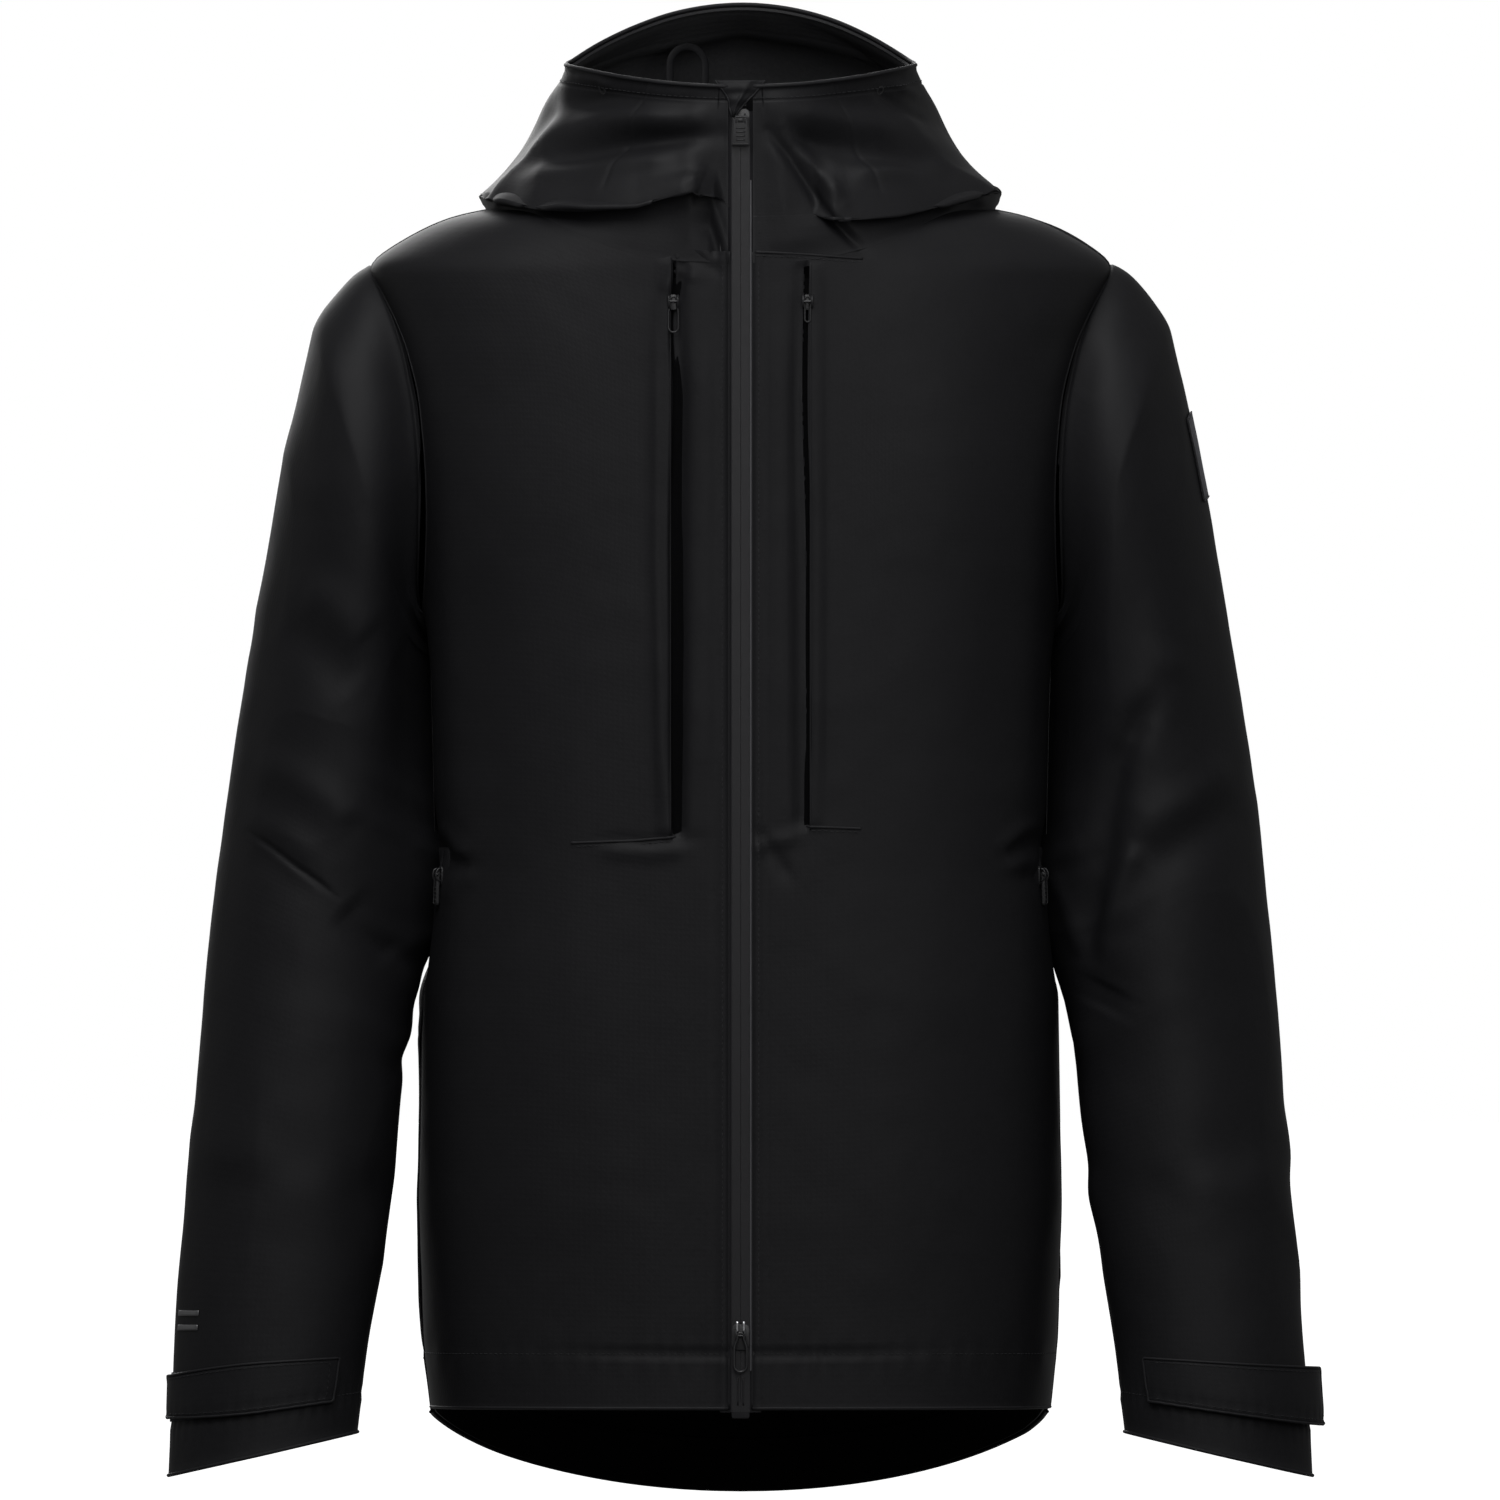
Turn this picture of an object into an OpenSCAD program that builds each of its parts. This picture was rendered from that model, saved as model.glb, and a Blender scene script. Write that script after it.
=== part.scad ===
// Hardshell jacket, zipped up, with its hood standing and its sleeves hanging.
// It is drawn standing on the lowest point of its drop tail, front towards -Y, and is then
// moved so that the point where a hook bears inside its hang loop is the origin.
// "h" is a height above the drop tail. "left" is the wearer's left, which is +X.

/* [Body] */
// Width of the body at the waist
body_w = 370; // [356:2:384]
// Thickness of the cloth solids
cloth_t = 2; // [1.6:0.1:2.2]
// How far the back hem hangs below the front hem
tail_drop = 50; // [36:1:56]
// Height of the folded hem
hem_fold = 31; // [20:1:40]

/* [Sleeves] */
// Height of the cuff facing inside each sleeve
cuff_fold = 30; // [20:1:40]
// Height of the hook-and-loop tab
tab_h = 32; // [26:1:34]
// Clearance between the sleeves and the body
arm_gap = 2.5; // [2:0.1:3]

/* [Zips] */
// Clear width between the cloth edges at the main zip
main_slot = 14.4; // [13.6:0.2:16]
// Width of one main zip tape
main_tape = 12; // [11:0.5:14]
// Clear width between the cloth edges at a pocket zip
pocket_slot = 9.4; // [9:0.1:10]
// Width of one pocket zip tape
pocket_tape = 9; // [8:0.5:10]
// Distance of each chest zip from the middle
chest_x = 39; // [36:1:46]
// Length of each chest zip
chest_len = 320; // [280:10:330]
// Length of each hand pocket zip
hand_len = 226; // [200:2:240]

/* [Hood] */
// Depth of the stiffened brim
brim_d = 26; // [18:1:32]
// Clear half width inside the hang loop
loop_r = 8.5; // [7:0.5:9]

/* [Hidden] */
$fn = 48;

cloth = [0.09, 0.09, 0.1];
inner_cloth = [0.06, 0.06, 0.07];
trim = [0.16, 0.16, 0.17];
metal = [0.3, 0.3, 0.31];

design_w = 370;
wide = (body_w - design_w) / 2;
seam_gap = 0.3;

// The front is straight along the zip: it leans back by zip_rise over zip_run.
zip_rise = 26;
zip_run = 750;
zip_lean = atan(zip_rise / zip_run);
front_hem_y = -138;
front_hem_h = 50;
shoulder_h = 713;
neck_top_h = 754;
neck_front_h = 722;

// Level sections of the body as [height, half width, back y, squareness of the corners].
body_rows = [
    [0, 175, 118, 2.9], [50, 180, 120, 2.9], [90, 184.5, 121, 2.9], [171, 187, 122, 2.9],
    [290, 184.5, 119, 2.9], [362, 181, 118, 2.9], [450, 183, 122, 3], [500, 184.5, 125, 3.2],
    [542, 186.5, 126, 3.4], [606, 192, 126, 3.4], [641, 196, 123, 3.2], [670, 202, 118, 2.9],
    [693, 209, 112, 2.6], [713, 216, 107, 2.3], [719, 212, 105, 2.2], [728, 198.7, 102, 2.1],
    [737, 182.4, 99.5, 2],
    [744, 165.3, 97, 1.9], [747, 150, 95, 1.9], [750, 130, 93, 1.9], [754, 98, 90, 1.9]
];
body_k = [for (k = [1:3]) [for (r = body_rows) [r[0], r[k]]]];

function clamp01(t) = min(1, max(0, t));
function smooth(t) = let (c = clamp01(t)) c * c * (3 - 2 * c);
function mix(a, b, t) = a + (b - a) * t;
function flat(rows) = [for (r = rows) each r];

function front_y(h) = front_hem_y + (h - front_hem_h) * zip_rise / zip_run;
function half_w(h) = lookup(h, body_k[0]) + wide;
function back_y(h) = lookup(h, body_k[1]);
function corner(h) = lookup(h, body_k[2]);
function mid_y(h) = (front_y(h) + back_y(h)) / 2;
function half_d(h) = (back_y(h) - front_y(h)) / 2;

// A point of the body's section at height h. The angle f runs from 0 at the side seam to 90 at
// the middle, side is -1 on the front and 1 on the back, and d is a depth below the surface.
function body_point(f, h, side, d = 0) =
    let (p = 2 / corner(h))
    [(half_w(h) - d) * pow(cos(f), p), mid_y(h) + side * (half_d(h) - d) * pow(sin(f), p), h];
function unit(v) = v / norm(v);
// The same with the depth measured along the surface's normal, which also holds on the shoulder.
function panel_point(f, h, side, d) =
    let (across = body_point(min(90, f + 1), h, side) - body_point(max(0, f - 1), h, side),
         up = body_point(f, h + 1, side) - body_point(f, h - 1, side))
    body_point(f, h, side) - d * side * unit(cross(across, up));
function angle_at_x(x, h, d = 0) = acos(pow(min(1, x / (half_w(h) - d)), corner(h) / 2));
function angle_at_y(y, h, d = 0) =
    asin(pow(min(1, abs(y - mid_y(h)) / (half_d(h) - d)), corner(h) / 2));
function body_x(y, h) =
    half_w(h) * pow(max(0, 1 - pow(abs(y - mid_y(h)) / half_d(h), corner(h))), 1 / corner(h));

// The armhole is an oval on the side of the body, from the shoulder point to the underarm.
arm_top_h = shoulder_h;
arm_low_h = 500;
arm_mid_h = (arm_top_h + arm_low_h) / 2;
arm_half_h = (arm_top_h - arm_low_h) / 2;
arm_y = 5;
arm_half_d = 70;
function arm_reach(h) = arm_half_d * sqrt(max(0, 1 - pow((h - arm_mid_h) / arm_half_h, 2)));
function edge_angle(h, side) =
    let (inside = h > arm_low_h && h < arm_top_h,
         y = inside ? arm_y + side * arm_reach(h) : mid_y(h) + side * seam_gap)
    angle_at_y(mid_y(h) + side * max(seam_gap, side * (y - mid_y(h))), h);

// The drop tail is a shallow arc across the back.
function tail_h(x) = tail_drop * (1 - pow(max(0, 1 - pow(x / (half_w(50) + 1), 2)), 0.62));
function top_h(f, side) =
    side < 0 ? neck_top_h - (neck_top_h - neck_front_h) * pow(sin(f), 6) : neck_top_h;

// Rows of a panel, as shares of its height, closer together over the shoulder.
panel_v = [0, 0.04, 0.1, 0.18, 0.28, 0.38, 0.48, 0.56, 0.63, 0.69, 0.74, 0.79, 0.83, 0.865, 0.895, 0.92,
           0.94, 0.955, 0.97, 0.985, 1];

function quad(a, b, c, d) = [[a, b, c], [a, c, d]];

// A thick sheet between two grids of points, whose rows run up and whose columns run
// anticlockwise as seen from above. A closed sheet is a tube.
module thick_sheet(outer, inner, closed = false) {
    rows = len(outer);
    cols = len(outer[0]);
    n = rows * cols;
    top = rows - 1;
    last = closed ? cols - 1 : cols - 2;
    function at(i, j) = i * cols + j % cols;
    skins = [for (i = [0:rows - 2], j = [0:last]) each concat(
        quad(at(i, j), at(i + 1, j), at(i + 1, j + 1), at(i, j + 1)),
        quad(n + at(i, j), n + at(i, j + 1), n + at(i + 1, j + 1), n + at(i + 1, j)))];
    ends = [for (j = [0:last]) each concat(
        quad(at(0, j), at(0, j + 1), n + at(0, j + 1), n + at(0, j)),
        quad(at(top, j + 1), at(top, j), n + at(top, j), n + at(top, j + 1)))];
    sides = closed ? [] : [for (i = [0:rows - 2]) each concat(
        quad(at(i + 1, 0), at(i, 0), n + at(i, 0), n + at(i + 1, 0)),
        quad(at(i, cols - 1), at(i + 1, cols - 1), n + at(i + 1, cols - 1), n + at(i, cols - 1)))];
    polyhedron(concat(flat(outer), flat(inner)), concat(skins, ends, sides));
}

// Moves the finished drawing so that the neck centre is the origin.
module placed(right = false) {
    translate([-loop_x, -loop_y, -loop_centre_h - loop_r]) mirror([right ? 1 : 0, 0, 0]) children();
}

// ---- Body ----

front_cols = 9;
function front_grid(x0, d) = [for (v = panel_v) [for (j = [0:front_cols - 1])
    let (u = j / (front_cols - 1),
         h = front_hem_h + v * (top_h(90 * (1 - u), -1) - front_hem_h),
         f = mix(angle_at_x(x0, h), edge_angle(h, -1), u))
    panel_point(f, h, -1, d)]];

back_cols = 19;
function back_grid(d) = [for (v = panel_v) [for (j = [0:back_cols - 1])
    let (u = 1 - abs(2 * j / (back_cols - 1) - 1),
         sx = j <= (back_cols - 1) / 2 ? 1 : -1,
         f90 = 90 * u,
         low = tail_h(half_w(50) * pow(cos(f90), 2 / corner(50))),
         h = low + v * (neck_top_h - low),
         f = mix(edge_angle(h, 1), 90, u),
         p = panel_point(f, h, 1, d))
    [sx * p[0], p[1], p[2]]]];

// A rectangle of the front, between two depths, from x0 to x1 and from h0 to h1.
function front_patch(x0, x1, h0, h1, d, rows = 8, cols = 6) = [for (i = [0:rows - 1])
    let (h = mix(h0, h1, i / (rows - 1))) [for (j = [0:cols - 1])
        let (x = mix(x0, x1, j / (cols - 1))) body_point(angle_at_x(x, h, d), h, -1, d)]];

// A band round a quarter of the body, between two angles.
function band(f0, f1, side, d, rows, cols, low, high) = [for (i = [0:rows - 1]) [for (j = [0:cols - 1])
    let (f = mix(f0, f1, j / (cols - 1)), h = mix(low, high, i / (rows - 1)))
    body_point(f, h, side, d)]];

module front_panel() {
    difference() {
        thick_sheet(front_grid(main_slot / 2, 0), front_grid(main_slot / 2, cloth_t));
        chest_place(0) translate([-pocket_slot / 2, -3, 0]) cube([pocket_slot, 8, chest_len]);
        hand_place() translate([-pocket_slot / 2, -4, 0]) cube([pocket_slot, 10, hand_len]);
    }
}

module back_shell() {
    thick_sheet(back_grid(0), back_grid(cloth_t));
}

facing_d = cloth_t + 0.9;
facing_t = 1.2;
module hem_facing_front() {
    low = front_hem_h + 0.5;
    f0 = angle_at_x(main_tape + 3, 60);
    f1 = angle_at_y(mid_y(60) - 4, 60);
    thick_sheet(band(f0, f1, -1, facing_d, 3, 9, low, low + hem_fold),
                band(f0, f1, -1, facing_d + facing_t, 3, 9, low, low + hem_fold));
}

module hem_facing_behind() {
    cols = 17;
    function grid(d) = [for (i = [0:2]) [for (j = [0:cols - 1])
        let (u = 1 - abs(2 * j / (cols - 1) - 1),
             sx = j <= (cols - 1) / 2 ? 1 : -1,
             f = mix(6, 90, u),
             low = tail_h(half_w(50) * pow(cos(f), 2 / corner(50))) + 0.5,
             p = body_point(f, low + hem_fold * i / 2, 1, d))
        [sx * p[0], p[1], p[2]]]];
    thick_sheet(grid(facing_d), grid(facing_d + facing_t));
}

module side_seam_tape() {
    tape_half = 10;
    low = front_hem_h + hem_fold + 4;
    function grid(d) = [for (i = [0:9]) let (h = mix(low, arm_low_h - 8, i / 9))
        [for (y = [-tape_half, 0, tape_half])
            let (f = angle_at_y(mid_y(h) + y, h, d), p = body_point(f, h, y < 0 ? -1 : 1, d))
            [p[0], p[1], h]]];
    thick_sheet(grid(facing_d + 0.7), grid(facing_d + 1.2));
}

// ---- Zips ----
// A zip is drawn in its own frame: X across it, Y into the jacket, Z up it, and y = 0 is the
// outer face of the cloth. The tape lies behind the cloth, with the coil behind the tape.
tape_y = cloth_t + 0.3;
tape_t = 0.8;
coil_y = tape_y + tape_t;
coil_t = 1.7;
slit = 0.7;
web_t = 0.8;

module main_place(h) {
    translate([0, front_y(h), h]) rotate([-zip_lean, 0, 0]) children();
}

chest_low_h = 382;
module chest_place(up) {
    h = chest_low_h + up;
    translate([chest_x, front_y(h) + chest_sink, h]) rotate([-zip_lean, 0, 0]) children();
}
chest_sink = 2.2;

// The hand pocket zip runs straight up the front corner of the side.
hand_low_h = 142;
hand_y = -62;
hand_turn = 70;
hand_top_x = body_x(hand_y, hand_low_h + hand_len);
hand_low_x = body_x(hand_y, hand_low_h);
hand_lean = atan((hand_low_x - hand_top_x) / hand_len);
hand_sink = 1;
module hand_place(up = 0) {
    translate([hand_low_x, hand_y, hand_low_h]) rotate([0, 0, hand_turn])
        rotate([-hand_lean, 0, 0]) translate([0, hand_sink, up]) children();
}

module tape(w, len) {
    translate([slit, tape_y, 0]) cube([w - slit, tape_t, len]);
}

// The closed coil's outer shape on one side: a bead along the tape's inner edge.
module coil(len) {
    translate([slit + 1.25, coil_y + 0.15, 0]) {
        intersection() {
            cylinder(r = 1.25, h = len);
            translate([-2, 0, -1]) cube([4, 3, len + 2]);
        }
        translate([-1.25, 0, 0]) cube([2.5, 0.2, len]);
    }
}

// A slider: a front plate with a bail, a thin web through the slit, and a back plate.
module slider(w, len, proud) {
    bar_r = 0.8;
    plate = [[-w / 2, len * 0.25], [-w * 0.32, 0], [w * 0.32, 0], [w / 2, len * 0.25],
             [w / 2, len * 0.8], [w * 0.28, len], [-w * 0.28, len], [-w / 2, len * 0.8]];
    front_t = tape_y - 0.35 + proud;
    translate([0, -proud, 0]) rotate([90, 0, 0]) mirror([0, 0, 1])
        linear_extrude(front_t) polygon(plate);
    translate([-web_t / 2, 1, len * 0.35]) cube([web_t, coil_y + coil_t + 1.1 - 1, len * 0.3]);
    translate([0, coil_y + coil_t + 0.4, 0]) rotate([90, 0, 0]) mirror([0, 0, 1])
        linear_extrude(1) polygon([for (p = plate) [p[0] * 0.86, p[1]]]);
    for (sx = [-1, 1]) translate([sx * 2.6 - 0.6, -proud - 3.4, bail_z(len) - 1.2])
        cube([1.2, 3.6, 2.4]);
    translate([-3.2, -proud - bail_y, bail_z(len)]) rotate([0, 90, 0]) cylinder(r = bar_r, h = 6.4);
}
bail_y = 2.4;
function bail_z(len) = len * 0.55;

// A pull: an eye round the bail's bar, a neck, and a grip, which hangs below the bar.
module pull(grip_w, grip_len, tip_w) {
    eye_r = 0.9;
    neck_w = 3.4;
    difference() {
        union() {
            translate([-neck_w / 2, 0, 0]) rotate([0, 90, 0]) cylinder(r = 1.9, h = neck_w);
            translate([-neck_w / 2, -0.8, -6]) cube([neck_w, 1.6, 6]);
        }
        translate([-5, 0, 0]) rotate([0, 90, 0]) cylinder(r = eye_r, h = 10);
    }
    translate([0, 0.8, -5]) rotate([90, 0, 0]) linear_extrude(1.6)
        polygon([[-neck_w / 2, 0], [-grip_w / 2, -2.5], [-tip_w / 2, -grip_len], [tip_w / 2, -grip_len],
                 [grip_w / 2, -2.5], [neck_w / 2, 0]]);
}

main_low_h = 52;
main_top_h = 806;
main_len = main_top_h - main_low_h;
slider_w = 11;
slider_len = 15;
main_proud = 1;
top_slider_h = 790;
bottom_slider_h = 84;
pocket_slider_w = 7.6;
pocket_slider_len = 11;
pocket_proud = 0.6;
chest_slider_up = chest_len - 14;
hand_slider_up = hand_len - 14;

module pocket_slider() {
    slider(pocket_slider_w, pocket_slider_len, pocket_proud);
}
module pocket_pull() {
    translate([0, -pocket_proud - bail_y, bail_z(pocket_slider_len)]) pull(6, 17, 5);
}
module main_slider(h) {
    main_place(h) slider(slider_w, slider_len, main_proud);
}
module main_pull(h, grip_w, grip_len, tip_w) {
    main_place(h) translate([0, -main_proud - bail_y, bail_z(slider_len)]) pull(grip_w, grip_len, tip_w);
}

module storm_strip() {
    main_place(main_low_h + 2) translate([-17, 9, 0]) cube([34, 1.2, main_len - 6]);
}

// Two top stops, clamped on the tapes above the closed coil.
module top_stops() {
    main_place(main_top_h + 0.5) for (sx = [-1, 1])
        translate([sx * 2.2 - 1.2, tape_y + 0.1, 0]) cube([2.4, 2.2, 3]);
}

// The retainer box and its pin end at the hem, with the reinforced end of the tape.
module box_end() {
    main_place(main_low_h - 6) {
        translate([-4.2, coil_y + 0.1, 0]) cube([8.4, 3, 5.6]);
        translate([-5, 0.2, -0.5]) cube([10, 1.8, 6]);
        translate([-3, 1, 0.6]) cube([6, 4, 4]);
    }
}

// A folded cloth hood over the top of the zip.
module garage_fold() {
    main_place(812) translate([0, -3.4, 0]) rotate([90, 0, 0]) mirror([0, 0, 1])
        linear_extrude(1.4) polygon([[-9, 8], [-3.5, 0], [2, -3], [10, 8]]);
    main_place(812) translate([-5.5, -2.2, 5]) cube([11, 3.4, 3]);
}

module pocket_zip(len) {
    for (sx = [0, 1]) mirror([sx, 0, 0]) {
        tape(pocket_tape, len);
        coil(len);
    }
}

// The pocket flap is a narrow strip of cloth on the outer side of a chest zip.
module chest_flap() {
    x0 = chest_x + pocket_slot / 2 + 0.3;
    low = chest_low_h - 2;
    thick_sheet(front_patch(x0, x0 + 5, low, low + chest_len + 4, -1.4, 9, 3),
                front_patch(x0, x0 + 5, low, low + chest_len + 4, -0.3, 9, 3));
}

module chest_bag() {
    thick_sheet(front_patch(chest_x - 14, 150, 392, 676, 9.5, 7, 6),
                front_patch(chest_x - 14, 150, 392, 676, 11, 7, 6));
}

module hand_bag() {
    thick_sheet(front_patch(62, 158, 118, 352, 10, 6, 6), front_patch(62, 158, 118, 352, 11.5, 6, 6));
}

// ---- Hood ----
// Rings of the hood above the neck seam, from the overhanging lower fold up to the rim:
// [half width, front y, back y, height in front, height at the side, height behind, squareness].
hood_rings = [
    [151, front_y(742), 138, 742, 755, 745, 2.3],
    [136, front_y(765), 150, 765, 773, 778, 2.2],
    [121, front_y(785) - 0.4, 147, 785, 793, 814, 2.1],
    [109, front_y(804) - 0.7, 122, 804, 813, 846, 2],
    [101, front_y(818) - 1.1, 58, 818, 831, 867, 2]
];
hood_k = [for (k = [0:6]) [for (i = [0:len(hood_rings) - 1]) [i + 1, hood_rings[i][k]]]];

// A point of the hood: the angle t runs from 0 in front to 180 behind, and v is 0 at the neck
// seam, just above the body's top edge, 1 at the fold and 5 at the rim.
function hood_ring_point(t, v) =
    let (p = 2 / lookup(v, hood_k[6]),
         w = lookup(v, hood_k[0]),
         fy = lookup(v, hood_k[1]),
         by = lookup(v, hood_k[2]),
         side_h = lookup(v, hood_k[4]),
         end_h = lookup(v, hood_k[cos(t) > 0 ? 3 : 5]))
    [w * pow(abs(sin(t)), p), (fy + by) / 2 - sign(cos(t)) * (by - fy) / 2 * pow(abs(cos(t)), p),
     side_h + (end_h - side_h) * pow(cos(t), 2)];
function neck_seam_point(t) =
    let (side = t < 90 ? -1 : 1, f = abs(90 - t))
    body_point(f, top_h(f, side), side, side < 0 ? -1.2 * (1 - pow(sin(f), 8)) : -1.2) + [0, 0, 1.4];
function hood_surface(t, v) =
    v < 1 ? mix(neck_seam_point(t), hood_ring_point(t, 1), v) : hood_ring_point(t, v);
function hood_point(t, v, d = 0) =
    let (around = hood_surface(min(180, t + 1), v) - hood_surface(max(0, t - 1), v),
         up = hood_surface(t, min(5, v + 0.1)) - hood_surface(t, max(0, v - 0.1)))
    hood_surface(t, v) - (d == 0 ? [0, 0, 0] : d * unit(cross(around, up)));
// The seam between the side and centre panels, and the line where the collar front ends.
function hood_seam(v) = v < 1 ? mix(146, 139, v) : mix(139, 96, (v - 1) / 4);
collar_end = 32;
hood_v = [0, 0.35, 0.7, 1, 1.3, 1.7, 2, 2.5, 3, 3.5, 4, 4.5, 5];
function zip_edge(v) = asin(pow((main_slot / 2) / norm([hood_surface(90, v)[0], 0]), 1.08));

// A sheet of the hood between two angles, which may differ from ring to ring.
function hood_sheet(t0s, t1s, vs, d, cols) = [for (i = [0:len(vs) - 1]) [for (j = [0:cols - 1])
    hood_point(mix(t0s[i], t1s[i], j / (cols - 1)), vs[i], d)]];

// A sheet that crosses the middle of the back: angles from t0 on the left to t0 on the right.
function across(t0s, vs, d, cols) = [for (i = [0:len(vs) - 1]) [for (j = [0:cols - 1])
    let (u = 2 * j / (cols - 1) - 1, t = mix(180, t0s[i], abs(u)), p = hood_point(t, vs[i], d))
    [u < 0 ? p[0] : -p[0], p[1], p[2]]]];

// The front of the collar, from the zip to the start of the hood's side.
module collar_side() {
    t0s = [for (v = hood_v) zip_edge(v)];
    t1s = [for (v = hood_v) collar_end - 0.3];
    thick_sheet(hood_sheet(t0s, t1s, hood_v, 0, 6), hood_sheet(t0s, t1s, hood_v, cloth_t, 6));
}

module hood_side() {
    t0s = [for (v = hood_v) collar_end + 0.3];
    t1s = [for (v = hood_v) hood_seam(v) - 0.4];
    thick_sheet(hood_sheet(t0s, t1s, hood_v, 0, 11), hood_sheet(t0s, t1s, hood_v, cloth_t, 11));
}

module hood_middle() {
    t0s = [for (v = hood_v) hood_seam(v) + 0.4];
    thick_sheet(across(t0s, hood_v, 0, 15), across(t0s, hood_v, cloth_t, 15));
}

module brim() {
    vs = [5 - brim_d / 40, 5 - brim_d / 80, 4.98];
    t0s = [110, 108, 106];
    thick_sheet(across(t0s, vs, cloth_t + 0.4, 11), across(t0s, vs, cloth_t + 2.4, 11));
}

module chin_lining() {
    vs = [3.2, 3.8, 4.4, 4.95];
    t0s = [for (v = vs) 10];
    t1s = [for (v = vs) collar_end - 2];
    for (sx = [0, 1]) mirror([sx, 0, 0])
        thick_sheet(hood_sheet(t0s, t1s, vs, cloth_t + 0.8, 5), hood_sheet(t0s, t1s, vs, cloth_t + 2.2, 5));
}

collar_top_h = 814;
module collar() {
    function ring(d) = [for (h = [neck_top_h + 3, mix(neck_top_h, collar_top_h, 0.5), collar_top_h])
        [for (j = [0:14]) let (a = mix(-8, 188, j / 14))
            [(90 - d) * cos(a), -10 + (88 - d) * sin(a) + (h - neck_top_h) * 0.04, h]]];
    thick_sheet(ring(0), ring(1.6));
}

// The hang loop is a flat strap, sewn inside the collar, with a round top.
loop_w = 5;
loop_t = 1.2;
loop_leg = 24;
loop_x = -31;
loop_y = 70.5;
loop_centre_h = 832;
loop_turn = 20;
module loop_strap() {
    translate([loop_x, loop_y, loop_centre_h]) rotate([0, 0, loop_turn]) {
        rotate([90, 0, 0]) translate([0, 0, -loop_t / 2]) difference() {
            cylinder(r = loop_r + loop_w, h = loop_t);
            translate([0, 0, -1]) cylinder(r = loop_r, h = loop_t + 2);
            translate([-30, -60, -1]) cube([60, 60, loop_t + 2]);
        }
        for (sx = [-1, 1]) translate([sx * (loop_r + loop_w / 2) - loop_w / 2, -loop_t / 2, -loop_leg])
            cube([loop_w, loop_t, loop_leg]);
    }
}

module label() {
    translate([-22, back_y(748) - cloth_t - 9, 734]) rotate([4, 0, 0]) cube([44, 0.8, 26]);
}

// The ends of the hood's adjusting cords come out through an eyelet at each side of the rim.
module eyelets() {
    for (sx = [-1, 1]) translate([sx * 76, -70, 819]) rotate([0, 0, sx * 45]) rotate([90, 0, 0])
        difference() {
            cylinder(r = 4, h = 1.4, center = true);
            cylinder(r = 2, h = 3, center = true);
        }
}

// ---- Sleeves ----
// Sections of a sleeve between its outer and inner edges, from the armhole to the cuff:
// [share, outer x, outer h, inner x, inner h, middle y, half depth].
sleeve_rows = [
    [0, 216, 713, 187, 500, 5, 78], [0.06, 236, 702, 187.4, 498, 5, 79],
    [0.12, 247.4, 681, 187.5, 494, 6, 80], [0.2, 256, 645, 187.5, 486, 7, 80],
    [0.28, 264, 611, 187.5, 475, 8, 79], [0.36, 271.5, 572, 187.5, 460, 9, 77],
    [0.44, 278.5, 528, 187.5, 440, 9, 75], [0.52, 286, 482, 187.5, 410, 8, 72],
    [0.6, 293, 437, 187.5, 372, 5, 69], [0.68, 299.5, 388, 188, 330, 1, 66],
    [0.75, 305, 345, 190.5, 292, -5, 63], [0.82, 311, 292, 194.5, 250, -12, 58],
    [0.88, 317, 226, 201, 200, -22, 53], [0.94, 324, 142, 210.5, 130, -33, 48],
    [0.97, 328, 78, 218, 84, -40, 45], [1, 330.8, 10.4, 223.5, 36, -48, 42]
];
sleeve_k = [for (k = [1:6]) [for (r = sleeve_rows) [r[0], r[k]]]];
sleeve_cols = 20;

function armhole_point(a) =
    let (y = arm_y + arm_half_d * sin(a), h = arm_mid_h + arm_half_h * cos(a))
    [body_x(y, h) + arm_gap, y, h];
// A point of the sleeve: a is 0 at the outer edge, 90 behind and 270 in front.
function sleeve_point(s, a, d = 0) =
    let (o = [lookup(s, sleeve_k[0]) + wide, 0, lookup(s, sleeve_k[1])],
         i = [lookup(s, sleeve_k[2]) + wide, 0, lookup(s, sleeve_k[3])],
         reach = norm(o - i) / 2,
         axis = (o - i) / (2 * reach),
         y = lookup(s, sleeve_k[4]),
         depth = lookup(s, sleeve_k[5]),
         oval = (o + i) / 2 + axis * (reach - d) * cos(a) + [0, y + (depth - d) * sin(a), 0],
         start = armhole_point(a) + (d > 0 ? [0, -d * sin(a), -d * cos(a)] : [0, 0, 0]))
    mix(start, oval, smooth(s / 0.13));
function sleeve_grid(rows, cols, s0, s1, a0, a1, d) = [for (i = [0:rows - 1]) [for (j = [0:cols - 1])
    sleeve_point(mix(s0, s1, i / (rows - 1)), mix(a0, a1, j / cols), d)]];
// Sleeve rows run down, so the columns turn the other way to keep the sheet's sides right.
function down(grid) = [for (i = [len(grid) - 1:-1:0]) grid[i]];

module sleeve() {
    thick_sheet(down(sleeve_grid(25, sleeve_cols, 0, 1, 0, 360, 0)),
                down(sleeve_grid(25, sleeve_cols, 0, 1, 0, 360, cloth_t)), closed = true);
}

module cuff_facing() {
    s0 = 1 - cuff_fold / 2200;
    thick_sheet(down(sleeve_grid(3, sleeve_cols, s0, 0.999, 0, 360, facing_d)),
                down(sleeve_grid(3, sleeve_cols, s0, 0.999, 0, 360, facing_d + facing_t)), closed = true);
}

// A strip of the cuff's front, from its sewn end a0 to a1, standing "lift" off the sleeve,
// and further off towards its free end by "flare".
tab_low_s = 0.9872;
function tab_high_s() = tab_low_s - tab_h / 2150;
function cuff_strip(a0, a1, s0, s1, lift, flare, cols) = [for (i = [0:2]) [for (j = [0:cols - 1])
    let (u = j / (cols - 1))
    sleeve_point(mix(s0, s1, i / 2), mix(a0, a1, u), -lift - flare * pow(u, 3))]];
tab_a0 = 227;
tab_a1 = 368;
tab_lift = 1.9;

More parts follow.
